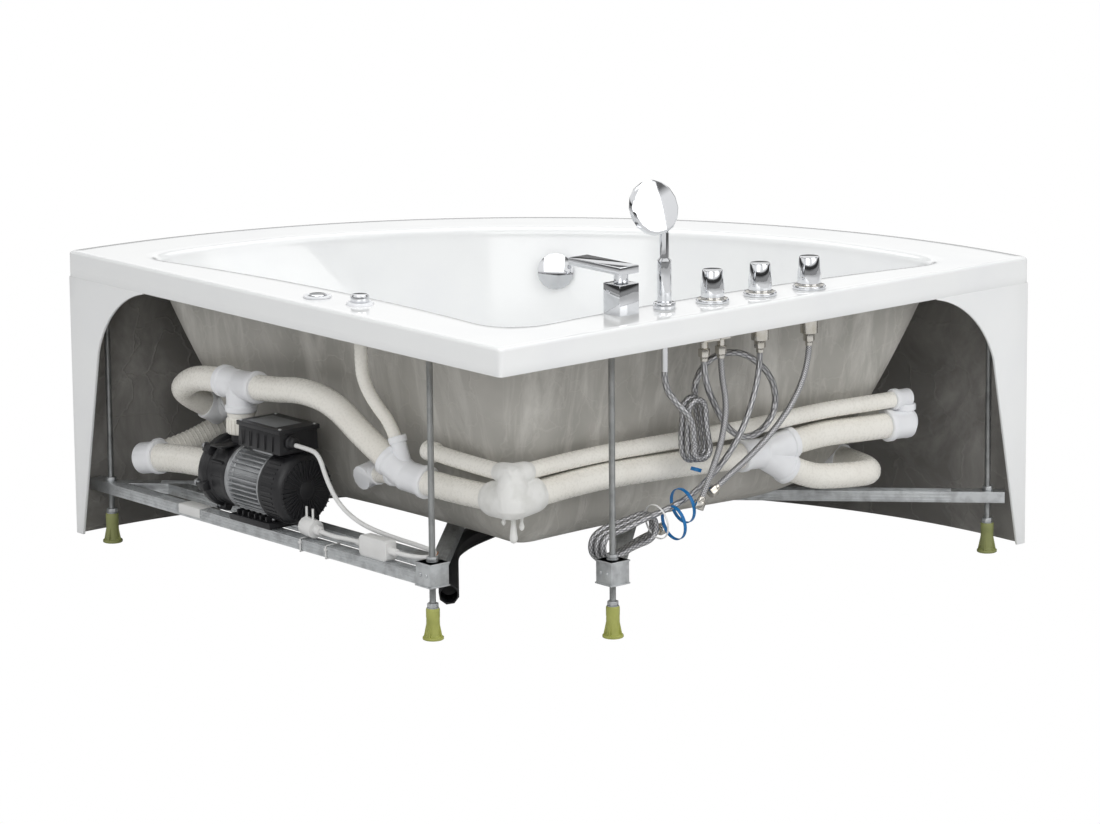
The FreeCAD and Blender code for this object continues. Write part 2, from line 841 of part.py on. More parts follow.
cover_shell = facet("cover_shell", [
    ("0", "0"),
    ("fan_cover_dia / 2 - 12", "0"),
    ("fan_cover_dia / 2", "14"),
    ("fan_cover_dia / 2", "fan_cover_length"),
    ("fan_cover_dia / 2 - cover_wall", "fan_cover_length"),
    ("fan_cover_dia / 2 - cover_wall", "14 + cover_wall"),
    ("fan_cover_dia / 2 - 12 - cover_wall / 2", "cover_wall"),
    ("0", "cover_wall"),
], ROUND)
cover_back = "0 - motor_length - fan_cover_length + 6"
on_pump(cover_shell, cover_back)
vents = []
for index in range(int(size.vent_count)):
    vent = block(f"vent_{index + 1}", "26", "vent_width", "3 * cover_wall")
    turn = 360 / size.vent_count * index
    aim = TO_ALONG.multiply(Rotation(UP, turn))
    offset = aim.multVec(Vector(20, -size.vent_width / 2, -size.cover_wall))
    vents.append(place(vent, f"pump_along + ({cover_back}) - cover_wall", f"pump_out + {-offset.y:.5f}",
                       f"pump_level + {offset.z:.5f}", aim))
keep(less("pump_fan_cover", cover_shell, united("vents", *vents)))

shaft_length = "fan_cover_length + motor_length + 40"
rotor_parts = [
    on_pump(cylinder("rotor_shaft", "shaft_dia", shaft_length), f"{cover_back} + cover_wall + 3"),
    on_pump(facet("fan_hub", [("0", "0"), ("20", "0"), ("20", "22"), ("0", "22")], 12), f"{cover_back} + 22"),
    on_pump(facet("impeller_disc", [
        ("0", "0"), ("impeller_dia / 2", "0"), ("impeller_dia / 2", "4"), ("0", "4"),
    ], ROUND), "26"),
]
for index in range(int(size.blade_count)):
    blade = block(f"fan_blade_{index + 1}", "fan_dia / 2", "3", "18")
    rotor_parts.append(on_pump(blade, f"{cover_back} + 24", 360 / size.blade_count * index))
    vane = block(f"impeller_vane_{index + 1}", "impeller_dia / 2 - 1", "3", "14")
    rotor_parts.append(on_pump(vane, "29", 360 / size.blade_count * index))
keep(united("pump_rotor", *rotor_parts))

box_place = "pump_along - motor_length / 2 - 26"
seat_top = "pump_level + motor_dia / 2 + 8.3"
lid = slab_block("box_casting", "box_length", "box_width", "box_height", box_place, "pump_out", seat_top)
gland = place(cylinder("lead_gland", "2 * lead_dia", "20"), f"{box_place} - box_length / 2", "pump_out - 22",
              f"{seat_top} + box_height / 2", TO_CORNER)
keep(united("pump_terminal_box", lid, gland))

cradle = slab_block("cradle", "motor_length - 20", "motor_dia / 2 + 8", "46", "pump_along - motor_length / 2",
                    "pump_out", f"{rail_top} + pump_foot_thick / 2")
plate = slab_block("foot_plate", "pump_foot_length", "pump_foot_width", "pump_foot_thick",
                   "pump_along - motor_length / 2", "leg_inset + rail_pitch / 2", rail_top)
saddle = place(cylinder("saddle", "motor_dia + 2 * pipe_gap", "motor_length"), "pump_along - motor_length",
               "pump_out", "pump_level", TO_ALONG)
seat_block = slab_block("box_seat", "52", "44", "motor_dia / 2 - motor_core_dia / 2 + 16", box_place,
                        "pump_out", "pump_level + motor_core_dia / 2 - 8")
finned = united("motor_blank", motor_core, seat_block, *fins)
keep(less("pump_motor", finned, armature_hole))
keep(less("pump_foot", united("pump_foot_blank", cradle, plate), saddle))

# ---------------------------------------------------------------- pipes between fittings
BEND_SHARE = 0.45


def run_path(route, trims=(0, 0)):
    """Straight runs joined by tangent arcs, and the radius of each arc."""
    points = [point if isinstance(point, Vector) else spot(*point) for point in route]
    points[0] = points[0] + (points[1] - points[0]).normalize() * trims[0]
    points[-1] = points[-1] + (points[-2] - points[-1]).normalize() * trims[1]
    edges = []
    radii = []
    start = points[0]
    for before, corner, after in zip(points, points[1:], points[2:]):
        arrive, leave = corner - before, after - corner
        half_turn = arrive.getAngle(leave) / 2
        reach = BEND_SHARE * min(arrive.Length, leave.Length)
        radius = reach / math.tan(half_turn)
        first = corner - arrive.normalize() * reach
        last = corner + leave.normalize() * reach
        inward = ((first + last) / 2 - corner).normalize()
        middle = corner + inward * (radius / math.cos(half_turn) - radius)
        edges.append(Part.LineSegment(start, first).toShape())
        edges.append(Part.Arc(first, middle, last).toShape())
        radii.append(radius)
        start = last
    edges.append(Part.LineSegment(start, points[-1]).toShape())
    return edges, radii


def swept(edges, dia, sides=0):
    """A solid tube along joined edges; a few sides give it flats."""
    path = Part.Wire(edges)
    start = edges[0].valueAt(edges[0].FirstParameter)
    way = edges[0].tangentAt(edges[0].FirstParameter)
    if sides:
        turn = Rotation(UP, way)
        angles = [2 * math.pi * index / sides for index in range(sides + 1)]
        ring = [start + turn.multVec(Vector(math.cos(a), math.sin(a), 0)) * (dia / 2) for a in angles]
        section = Part.makePolygon(ring)
    else:
        section = Part.Wire([Part.makeCircle(dia / 2, start, way)])
    tube = path.makePipeShell([section], True, False)
    area = Part.Face(section).Area
    ratio = tube.Volume / (area * path.Length)
    if abs(ratio - 1) > 0.02:
        print(f"  tube volume is {ratio:.3f} of its section times its length")
    return tube


def pipe(route, dia, trims=(0, 0)):
    return swept(run_path(route, trims)[0], dia, int(size.pipe_sides))


FLAT = math.cos(math.pi / 12)


def sleeve(centre, towards, length, dia, behind=0.0):
    """A socket from a fitting's centre towards a point."""
    centre = centre if isinstance(centre, Vector) else spot(*centre)
    towards = towards if isinstance(towards, Vector) else spot(*towards)
    way = (towards - centre).normalize()
    return facet_bar(centre - way * behind, way, length + behind, dia / FLAT, 12)


def facet_bar(start, way, length, dia, sides):
    """A bar with flats."""
    corners = [Rotation(UP, 360 / sides * index).multVec(ALONG) * (dia / 2) for index in range(sides + 1)]
    solid = Part.Face(Part.makePolygon(corners)).extrude(UP * length)
    solid.Placement = Placement(start, Rotation(UP, way))
    return solid


def fitting(*sleeves):
    body = sleeves[0]
    for other in sleeves[1:]:
        body = body.fuse(other)
    return body.removeSplitter()


tee = (size.tee_along, size.pump_out, size.tee_level)
volute_front = size.pump_along + size.volute_length
union_front = volute_front + size.union_length
union_top = size.union_bottom + size.union_length
wye = (437, 131, 268)
joint = (149, 149, 266)
joint_upper = (148, 150, 315)
tap_wye = (142, 770, 264)
end_elbow = (100, 1112, 279)
end_elbow_upper = (100, 1112, 330)
elbow = (1195, 66, 186)
suction_start = (volute_front, size.pump_out, size.pump_level)

TAP_HOSE = [tee, (765, 80, 380), (692, 87, 401), (608, 98, 388), (532, 110, 318), wye]
LOUNGE_HOSE = [tee, (975, 80, 381), (1062, 84, 366), (1124, 100, 324), lounge_jet.away(size.jet_port)]
CORNER_PIPE = [wye, (300, 145, 256), joint]
MAIN_PIPE = [joint, (150, 300, 279), (150, 480, 277), tap_wye]
UPPER_END_PIPE = [tap_wye, (134, 890, 283), (114, 1000, 281), end_elbow]
END_JET_PIPE = [end_elbow, tap_jet.away(size.jet_port)]
LOWER_END_PIPE = [tap_wye, (132, 862, 205), (118, 962, 193), (106, 1058, 191), low_jet.away(size.jet_port)]
SIDE_JET_PIPE = [side_jet.away(size.jet_port), wye]
SUCTION_PIPE = [suction_start, (1100, 80, 205), elbow]
SUCTION_HOSE = [elbow, (1190, 150, 196), (1158, 240, 240), suction.away(size.jet_port)]
AIR_PIPE = [(505, 78, 527.5), (505, 78, 494), (516, 90, 448), (504, 106, 404), (466, 126, 354), wye]
PUMP_AIR_MANIFOLD = [(398, 152, 321), (290, 150, 315), joint_upper]
TAP_AIR_MANIFOLD = [joint_upper, (151, 300, 324), (150, 520, 320), (144, 720, 318), (126, 900, 330),
                    (106, 1020, 331), end_elbow_upper]
OVERFLOW_PIPE = [overflow.away(38), overflow.away(38) - UP * 110, (884, 884, 240), (858, 858, 110),
                 (800, 800, 64), (size.drain_place, size.drain_place, 64)]
WASTE_PIPE = [(size.drain_place, size.drain_place, 64), (690, 600, 64), (600, 360, 64), (303, 120, 64)]

socket = 58
upper_socket = 34
branch_socket = 76
jet_socket = 36


def big(centre, towards, length=socket, behind=14.0):
    return sleeve(centre, towards, length, size.big_fitting, behind)


def small(centre, towards, length=upper_socket, behind=10.0):
    return sleeve(centre, towards, length, size.small_fitting, behind)


pressure_pipes = {
    "tap hose": pipe(TAP_HOSE, size.big_pipe, (socket, socket)),
    "lounge hose": pipe(LOUNGE_HOSE, size.big_pipe, (socket, jet_socket)),
    "corner pipe": pipe(CORNER_PIPE, size.big_pipe, (socket, socket)),
    "main pipe": pipe(MAIN_PIPE, size.big_pipe, (socket, socket)),
    "upper end pipe": pipe(UPPER_END_PIPE, size.big_pipe, (branch_socket, 48)),
    "end jet pipe": pipe(END_JET_PIPE, size.big_pipe, (48, jet_socket)),
    "lower end pipe": pipe(LOWER_END_PIPE, size.big_pipe, (branch_socket, jet_socket)),
    "side jet pipe": pipe(SIDE_JET_PIPE, size.small_pipe, (jet_socket, socket + 4)),
}
keep(made("pressure_pipes", Part.makeCompound(list(pressure_pipes.values()))))
air_pipes = {
    "air pipe": pipe(AIR_PIPE, size.air_pipe, (0, branch_socket + 2)),
    "pump side manifold": pipe(PUMP_AIR_MANIFOLD, size.small_pipe, (0, upper_socket)),
    "tap side manifold": pipe(TAP_AIR_MANIFOLD, size.small_pipe, (upper_socket, upper_socket)),
}
keep(made("air_pipes", Part.makeCompound(list(air_pipes.values()))))
keep(made("suction_pipe", pipe(SUCTION_PIPE, size.big_pipe + 6, (size.union_length, 42))))
keep(made("suction_hose", pipe(SUCTION_HOSE, size.big_pipe - 2, (42, jet_socket))))
keep(made("overflow_pipe", pipe(OVERFLOW_PIPE, size.overflow_pipe_dia, (34, 40))))
waste = pipe(WASTE_PIPE, size.waste_dia, (44, 0))
open_end = spot(*WASTE_PIPE[-1])
inside = (spot(*WASTE_PIPE[-2]) - open_end).normalize()
waste = waste.cut(bar(open_end - inside, inside, 60, size.waste_dia - 2 * size.waste_wall - 2))
keep(made("waste_pipe", waste))

tee_foot = spot(size.tee_along, size.pump_out, union_top)
tee_body = fitting(
    big(tee, TAP_HOSE[1], behind=0), big(tee, LOUNGE_HOSE[1], behind=0),
    facet_bar(tee_foot, UP, size.tee_level - union_top, size.big_pipe + 2, 12),
)
wye_body = fitting(
    big(wye, TAP_HOSE[-2]), big(wye, CORNER_PIPE[1]), small(wye, SIDE_JET_PIPE[0], socket + 4),
    sleeve(wye, AIR_PIPE[-2], branch_socket + 2, size.air_pipe + 6),
)
tap_wye_body = fitting(
    big(tap_wye, MAIN_PIPE[-2]), big(tap_wye, UPPER_END_PIPE[1], branch_socket),
    big(tap_wye, LOWER_END_PIPE[1], branch_socket),
)
end_elbow_body = fitting(
    big(end_elbow, UPPER_END_PIPE[-2], 48), big(end_elbow, END_JET_PIPE[1], 48),
    small(end_elbow, end_elbow_upper, 62, 0), small(end_elbow_upper, TAP_AIR_MANIFOLD[-2]),
)
elbow_body = fitting(
    sleeve(elbow, SUCTION_PIPE[-2], 42, size.big_fitting + 5, 22),
    sleeve(elbow, SUCTION_HOSE[1], 42, size.big_fitting + 5, 22),
)
manifold_end, manifold_next = (spot(*place_) for place_ in PUMP_AIR_MANIFOLD[:2])
manifold_cap = small(manifold_end, manifold_end * 2 - manifold_next, 20, 0)
keep(made("pipe_fittings", Part.makeCompound([
    tee_body, wye_body, tap_wye_body, end_elbow_body, elbow_body, manifold_cap,
])))
joint_body = fitting(
    big(joint, CORNER_PIPE[-2], behind=26), big(joint, MAIN_PIPE[1], behind=26),
    small(joint_upper, PUMP_AIR_MANIFOLD[-2], behind=18), small(joint_upper, TAP_AIR_MANIFOLD[1], behind=18),
    facet_bar(spot(joint[0], joint[1], joint[2] - 32), UP, 64, size.big_fitting + 8, 12),
    facet_bar(spot(joint[0] + 14, joint[1] + 14, joint[2] - 88), UP, 70, 22, 8),
)
keep(made("corner_joint", joint_body))


def union_nut(start, way, bore_dia):
    """A ribbed union nut, its hole left round."""
    blank = facet_bar(start, way, size.union_length, size.union_dia, 16)
    return blank.cut(bar(start - way, way, size.union_length + 2, bore_dia))


suction_union = union_nut(spot(*suction_start), ALONG, size.union_dia - 20)
outlet_union = union_nut(spot(size.tee_along, size.pump_out, size.union_bottom), UP, size.tower_dia - 12)
keep(made("pump_unions", Part.makeCompound([suction_union, outlet_union])))


def seated(shape, fixing):
    """Move a shape made on the upright axis to its fixing, upwards turned to face out of the tub."""
    placed = shape.copy()
    placed.Placement = Placement(fixing.point, Rotation(UP, fixing.way))
    return placed


wall = size.basin_wall
jet_solids = []
jet_inlets = (
    (lounge_jet, LOUNGE_HOSE[-2], size.big_fitting - 4, 0.5),
    (suction, SUCTION_HOSE[-2], size.big_fitting - 6, 0.5),
    (tap_jet, END_JET_PIPE[0], size.big_fitting - 4, 0.5),
    (low_jet, LOWER_END_PIPE[-2], size.big_fitting - 4, 2.5),
    (side_jet, wye, size.small_fitting, 0.5),
)
for fixing, towards, dia, proud in jet_inlets:
    trim = facet_bar(Vector(0, 0, -wall - 5 - proud), UP, 5, size.jet_dia, 16)
    neck = facet_bar(Vector(0, 0, -wall - 2), UP, wall + 4, jet_hole, 12)
    body = facet_bar(Vector(0, 0, 0.8), UP, size.jet_body_length, size.jet_body_dia, 12)
    nozzle = facet_bar(Vector(0, 0, -wall - 6), UP, 22, 16, 8)
    solid = seated(trim.fuse(neck).fuse(body).cut(nozzle), fixing)
    port = sleeve(fixing.away(size.jet_port), towards, jet_socket, dia)
    jet_solids.append(solid.fuse(port).removeSplitter())
keep(made("jets", Part.makeCompound(jet_solids)))

# ---------------------------------------------------------------- drain and overflow
drain = "drain_place"
drain_top = "rim_height - basin_depth"
drain_under = f"{drain_top} - basin_wall"
drain_core = spot(*WASTE_PIPE[0])
drain_cup = place(facet("drain_cup", [
    ("0", "0"),
    ("drain_body_dia / 2 + 3", "0"),
    ("drain_body_dia / 2 + 3", "basin_wall * 7.1"),
    ("drain_dia / 2", "basin_wall * 7.1"),
    ("drain_dia / 2", f"{drain_under} - 40.3"),
    ("0", f"{drain_under} - 40.3"),
], 12), drain, drain, "40")
collar = cylinder("drain_collar", "drain_body_dia", "basin_wall + 3")
place(collar, drain, drain, f"{drain_under} - 1")
grate = place(facet("drain_flange", [
    ("0", "0.3"), ("drain_dia / 2", "0.3"), ("drain_dia / 2", "3"), ("0", "3"),
], 12), drain, drain, drain_top)
doc.recompute()
drain_solid = drain_cup.Shape.fuse(collar.Shape).fuse(grate.Shape)
well_low = spot(size.drain_place, size.drain_place, 44)
drain_solid = drain_solid.fuse(sleeve(drain_core, WASTE_PIPE[1], 44, size.waste_dia + 4))
drain_solid = drain_solid.fuse(sleeve(drain_core, OVERFLOW_PIPE[-2], 40, size.overflow_pipe_dia + 4))
drain_solid = drain_solid.cut(facet_bar(well_low, UP, 160, size.drain_body_dia - 8, 12))
guide_up = size.rim_height - size.basin_depth - 30
guide = Part.makeBox(size.drain_body_dia - 4, 14, 8)
guide_low = spot(size.drain_place, size.drain_place, guide_up)
guide.translate(guide_low - Vector(size.drain_body_dia / 2 - 2, 7, 0))
stem_hole = bar(spot(size.drain_place, size.drain_place, guide_up - 4), UP, 20,
                size.spindle_dia + 2 * size.running_gap)
keep(made("drain_body", drain_solid.fuse(guide).cut(stem_hole).removeSplitter()))

plug_disc = place(facet("plug_disc", [
    ("0", "0"), ("plug_dia / 2", "0"), ("plug_dia / 2", "3"), ("plug_dia / 2 - 8", "6"), ("0", "6"),
], 12), drain, drain, f"{drain_top} + 3.3")
plug_stem = place(cylinder("plug_stem", "spindle_dia", "41"), drain, drain, f"{drain_top} + 3.3 - 40")
keep(united("drain_plug", plug_disc, plug_stem))

ring = facet_bar(Vector(0, 0, -wall - 8), UP, 7, size.overflow_dia - 12, 12)
neck = facet_bar(Vector(0, 0, -wall - 4), UP, wall + 5, jet_hole, 12)
chest = facet_bar(Vector(0, 0, 0.8), UP, 56, size.jet_body_dia + 4, 12)
spindle_way = bar(Vector(0, 0, -30), UP, 60, size.spindle_dia + 2 * size.running_gap)
overflow_solid = seated(ring.fuse(neck).fuse(chest).cut(spindle_way), overflow)
overflow_port = sleeve(overflow.away(38), OVERFLOW_PIPE[1], 34, size.overflow_pipe_dia + 5)
overflow_solid = overflow_solid.fuse(overflow_port)
keep(made("overflow_body", overflow_solid.removeSplitter()))
dial = facet_bar(Vector(0, 0, -wall - 17.3), UP, 9, size.overflow_dia, 16)
dial = dial.fuse(bar(Vector(0, 0, -wall - 9), UP, 34, size.spindle_dia))
keep(made("overflow_knob", seated(dial, overflow)))

# ---------------------------------------------------------------- deck fittings
deck = "rim_height"
spindle_hole = "spindle_dia + 2 * running_gap"
spout_place = ("spout_along", "spout_out")
base = slab_block("spout_pillar", "spout_block", "spout_block", "spout_block_height", *spout_place, deck)
shank = place(facet("spout_shank", [
    ("0", "0 - deck_wall - 29"),
    ("shank_dia / 2", "0 - deck_wall - 29"),
    ("shank_dia / 2", "0 - deck_wall - 11"),
    ("shank_dia / 2 + 7", "0 - deck_wall - 11"),
    ("shank_dia / 2 + 7", "0 - deck_wall - 0.3"),
    ("shank_dia / 2", "0 - deck_wall - 0.3"),
    ("shank_dia / 2", "1"),
    ("0", "1"),
], 12), *spout_place, deck)
pin_bore = place(cylinder("spout_pin_bore", "spout_pin_dia + 2 * running_gap", "spout_pin_length + 2"),
                 *spout_place, f"{deck} + spout_block_height - spout_pin_length")
keep(less("spout_base", united("spout_base_blank", base, shank), pin_bore))

neck_up = f"{deck} + spout_block_height"
neck = place(facet("spout_neck", [
    ("0", "0.2"),
    ("spout_neck_dia / 2", "0.2"),
    ("spout_neck_dia / 2", "spout_gap + 2"),
    ("0", "spout_gap + 2"),
], 12), *spout_place, neck_up)
pin = place(cylinder("spout_pin", "spout_pin_dia", "spout_pin_length - 1"), *spout_place,
            f"{neck_up} - spout_pin_length + 1.5")
arm = slab_block("spout_arm", "spout_bar_length", "spout_block", "spout_bar_height",
                 "spout_along - spout_back + spout_bar_length / 2", "spout_out", f"{neck_up} + spout_gap")
mouth = slab_block("spout_mouth", "14", "spout_block - 12", "spout_bar_height - 4",
                   "spout_along - spout_back + spout_bar_length - 14", "spout_out",
                   f"{neck_up} + spout_gap - 0.1")
keep(less("spout", united("spout_blank", neck, pin, arm), mouth))

handset_place = ("handset_along", "handset_out")
holder = place(facet("holder_blank", [
    ("0", "0 - deck_wall - 29"),
    ("shank_dia / 2", "0 - deck_wall - 29"),
    ("shank_dia / 2", "0 - deck_wall - 11"),
    ("shank_dia / 2 + 7", "0 - deck_wall - 11"),
    ("shank_dia / 2 + 7", "0 - deck_wall - 0.3"),
    ("shank_dia / 2", "0 - deck_wall - 0.3"),
    ("shank_dia / 2", "0"),
    ("handset_ring_dia / 2", "0"),
    ("handset_ring_dia / 2 - 3", "handset_ring_height"),
    ("0", "handset_ring_height"),
], 12), *handset_place, deck)
hose_way = place(cylinder("holder_hole", "shower_hose_dia + 2 * running_gap", "handset_ring_height + 60"),
                 *handset_place, f"{deck} - 50")
keep(less("handset_holder", holder, hose_way))

grip = place(lathe("handset_grip", [
    ("0", "handset_ring_height + 0.2"),
    ("handset_grip_dia / 2", "handset_ring_height + 0.2"),
    ("handset_grip_dia / 2", "handset_grip_top"),
    ("handset_neck_dia / 2", "handset_grip_top + 5"),
    ("handset_neck_dia / 2", "handset_neck_top + 4"),
    ("0", "handset_neck_top + 8"),
]), *handset_place, deck)
tail = place(cylinder("handset_stiff_end", "shower_hose_dia", "handset_tail + handset_ring_height + 2"),
             *handset_place, f"{deck} - handset_tail")
spray = heading(0.94, 0.10, -0.32)
head = facet("handset_head", [
    ("0", "0"),
    ("handset_head_dia / 2 - 4", "0"),
    ("handset_head_dia / 2", "4"),
    ("handset_head_dia / 2", "handset_head_depth - 6"),
    ("handset_head_dia / 2 - 5", "handset_head_depth"),
    ("0", "handset_head_depth"),
], ROUND)
back = "handset_head_depth / 2"
place(head, f"handset_along + 13 - {back} * {spray.x:.6f}", f"handset_out - 15 + {back} * {spray.y:.6f}",
      f"{deck} + handset_head_level - {back} * {spray.z:.6f}", Rotation(UP, spray))
keep(united("handset", grip, tail, head))

taps = {
    "diverter": ("diverter_along", "diverter_out"),
    "hot": ("hot_along", "hot_out"),
    "cold": ("cold_along", "cold_out"),
}
valves = []
for name, where in taps.items():
    bottom = "0 - valve_drop + 14" if name == "diverter" else "0 - valve_drop"
    core = place(facet(f"{name}_valve_core", [
        ("0", bottom),
        ("valve_dia / 2", bottom),
        ("valve_dia / 2", "0 - deck_wall - 0.3"),
        ("shank_dia / 2", "0 - deck_wall - 0.3"),
        ("shank_dia / 2", "0"),
        ("rosette_dia / 2", "0"),
        ("rosette_dia / 2 - 3", "rosette_height"),
        ("0", "rosette_height"),
    ], 12), *where, deck)
    stem = place(cylinder(f"{name}_spindle", "spindle_dia", "spindle_length + 1"), *where,
                 f"{deck} + rosette_height - 1")
    pieces = [core, stem]
    if name == "diverter":
        low = f"{deck} - valve_drop"
        chest = slab_block("diverter_manifold", "valve_dia - 6", "port_pitch + 24", "26", *where,
                           f"{low} + 14")
        pieces.append(chest)
        for side, sign in (("hose", "-"), ("spout", "+")):
            port = facet(f"{side}_port", [("0", "0"), ("8", "0"), ("8", "15"), ("0", "15")], 8)
            pieces.append(place(port, where[0], f"{where[1]} {sign} port_pitch / 2", low))
    valves.append(united(f"{name}_valve", *pieces))
    blank = place(facet(f"knob_blank_{name}", [
        ("0", "0"),
        ("knob_base_dia / 2", "0"),
        ("knob_base_dia / 2", "3"),
        ("knob_top_dia / 2", "knob_height - 2"),
        ("knob_top_dia / 2 - 2", "knob_height"),
        ("0", "knob_height"),
    ], 12), *where, f"{deck} + rosette_height + 0.3")
    socket_hole = place(cylinder(f"knob_hole_{name}", spindle_hole, "spindle_length + 2"), *where,
                        f"{deck} + rosette_height - 0.7")
    keep(less(f"knob_{name}", blank, socket_hole))
keep(together("tap_valves", valves))

button_place = ("button_along", "button_out")
air_place = ("air_knob_along", "air_knob_out")
cup = place(facet("button_cup", [
    ("0", "0 - deck_wall - 40"),
    ("button_dia / 2 - 5", "0 - deck_wall - 40"),
    ("button_dia / 2 - 5", "0.3"),
    ("button_dia / 2", "0.3"),
    ("button_dia / 2", "4"),
    ("0", "4"),
], 12), *button_place, deck)
cup_hollow = place(facet("button_hollow", [
    ("0", "0 - deck_wall - 10"),
    ("button_cap_dia / 2 + 1", "0 - deck_wall - 10"),
    ("button_cap_dia / 2 + 1", "5"),
    ("0", "5"),
], 12), *button_place, deck)
stem_way = place(cylinder("button_stem_hole", spindle_hole, "26"), *button_place, f"{deck} - deck_wall - 34")
button_housing = less("button_housing", cup, united("button_ways", cup_hollow, stem_way))
air_valve = place(facet("air_valve_core", [
    ("0", "0 - deck_wall - 61"),
    ("shank_dia / 2 + 3", "0 - deck_wall - 61"),
    ("shank_dia / 2 + 3", "0"),
    ("air_flange_dia / 2", "0"),
    ("air_flange_dia / 2 - 3", "5"),
    ("0", "5"),
], 12), *air_place, deck)
air_stem = place(cylinder("air_valve_stem", "spindle_dia", "air_knob_height - 3"), *air_place, f"{deck} + 4")
keep(together("deck_air_fittings", [button_housing, united("air_valve", air_valve, air_stem)]))
cap = place(facet("button_cap", [
    ("0", "0 - deck_wall"), ("button_cap_dia / 2", "0 - deck_wall"), ("button_cap_dia / 2", "5"),
    ("button_cap_dia / 2 - 3", "7"), ("0", "7"),
], 12), *button_place, deck)
cap_stem = place(cylinder("button_stem", "spindle_dia", "24"), *button_place, f"{deck} - deck_wall - 23")
keep(united("pump_button", cap, cap_stem))
air_blank = place(facet("air_knob_blank", [
    ("0", "0"), ("air_knob_dia / 2", "0"), ("air_knob_dia / 2", "air_knob_height - 3"),
    ("air_knob_dia / 2 - 3", "air_knob_height"), ("0", "air_knob_height"),
], 12), *air_place, f"{deck} + 5.3")
air_socket = cylinder("air_knob_hole", spindle_hole, "air_knob_height - 2")
place(air_socket, *air_place, f"{deck} + 4.3")
keep(less("air_knob", air_blank, air_socket))

# ---------------------------------------------------------------- hoses and mains lead
def free_cord(name, route, dia):
    """A cord's tube along its chosen points; prints how tightly it bends."""
    edges, radii = run_path(route)
    tightest = sorted(round(radius) for radius in radii)[:3]
    print(f"{name}: {Part.Wire(edges).Length:.0f} mm, diameter {dia:g}, tightest bends {tightest} mm")
    return swept(edges, dia, int(size.cord_sides))


def climb(start, end, tangent):
    """Two arcs that step sideways and leave in the direction they came."""
    run = end - start
    forward = tangent * run.dot(tangent)
    step = run - forward
    if step.Length < 0.01:
        return [Part.LineSegment(start, end).toShape()]
    radius = run.Length ** 2 / (4 * step.Length)
    turn = math.asin(forward.Length / 2 / radius)
    side = Vector(step).normalize()
    ahead = Vector(forward).normalize()
    bite = ahead * (radius * math.sin(turn / 2)) + side * (radius * (1 - math.cos(turn / 2)))
    middle = (start + end) / 2
    return [Part.Arc(start, start + bite, middle).toShape(), Part.Arc(middle, end - bite, end).toShape()]


def hank(start, length, width, drop, across, deep, pitch, loops, first_run, growth, tail):
    """Loops of one hose: down a run, round, up a climbing run, and round again."""
    edges = []
    here = start
    for index in range(loops):
        run = first_run if index == 0 else length + growth * (2 * index - 1)
        below = here + drop * run
        edges.append(Part.LineSegment(here, below).toShape())
        turned = below + across * width
        edges.append(Part.Arc(below, below + across * (width / 2) + drop * (width / 2), turned).toShape())
        top = turned - drop * (length + growth * 2 * index) + deep * pitch
        edges += climb(turned, top, -drop)
        if index == loops - 1:
            end = top - drop * tail
            edges.append(Part.LineSegment(top, end).toShape())
            return edges, end
        here = top - across * width
        edges.append(Part.Arc(top, (top + here) / 2 - drop * (width / 2), here).toShape())


def self_gap(edges, dia):
    """The least gap of a wound hose to itself."""
    apart = [
        edge.distToShape(other)[0]
        for index, edge in enumerate(edges) for other in edges[index + 2:]
    ]
    return min(apart) - dia


def wound(name, edges, dia):
    print(f"{name}: {Part.Wire(edges).Length:.0f} mm, least gap to itself {self_gap(edges, dia):.2f} mm")
    return swept(edges, dia, int(size.cord_sides))


port_level = size.rim_height - size.valve_drop
nut_low = port_level - size.hose_nut_length
tail_end = (size.handset_along, size.handset_out, size.rim_height - size.handset_tail)
hose_port = (size.diverter_along, size.diverter_out - size.port_pitch / 2, nut_low)
spout_port = (size.diverter_along, size.diverter_out + size.port_pitch / 2, nut_low)

hank_start = spot(62, 520, 345)
shower_hank, shower_hank_end = hank(
    hank_start, length=66, width=44, drop=-UP, across=OUT, deep=ALONG, pitch=size.shower_hose_dia + 1.8,
    loops=3, first_run=22, growth=3, tail=14,
)
SHOWER_DROP = [tail_end, (87, 471, 446), (78, 488, 416), (65, 512, 388), (62, 520, 366), hank_start]
SHOWER_LOOP = [
    shower_hank_end, (106.4, 564, 434), (108, 583, 464), (111, 621, 482), (112, 670, 482), (112, 718, 464),
    (111, 770, 416), (106, 774, 356), (100, 732, 320), (92, 676, 314), (84, 626, 342), (78, 588, 396),
    (73, 557.5, 450), hose_port,
]
SPOUT_HOSE = [spout_port, (73, 600.5, 455), (52, 597, 398), (42, 574, 332), (40, 546, 278), (42, 520, 226)]
HOT_HOSE = [
    (size.hot_along, size.hot_out, nut_low), (64, 692, 455), (54, 662, 388), (48, 620, 326), (54, 572, 274),
    (70, 520, 230),
]
COLD_HOSE = [(size.cold_along, size.cold_out, nut_low), (50, 806, 455), (48, 772, 388), (45, 712, 334),
             (44, 648, 292), (44, 594, 264), (43, 558, 244)]
lower_way = heading(0, -0.985, -0.17)
lower_across = heading(0, 0.17, -0.985)
hot_hank_start = spot(79.5, 434, 206)
HOT_HOSE += [hot_hank_start - lower_way * 42, hot_hank_start]
hot_hank, hot_hank_end = hank(
    hot_hank_start, length=92, width=52, drop=lower_way, across=lower_across, deep=ALONG,
    pitch=size.supply_hose_dia + 1.6, loops=3, first_run=104, growth=3, tail=46,
)
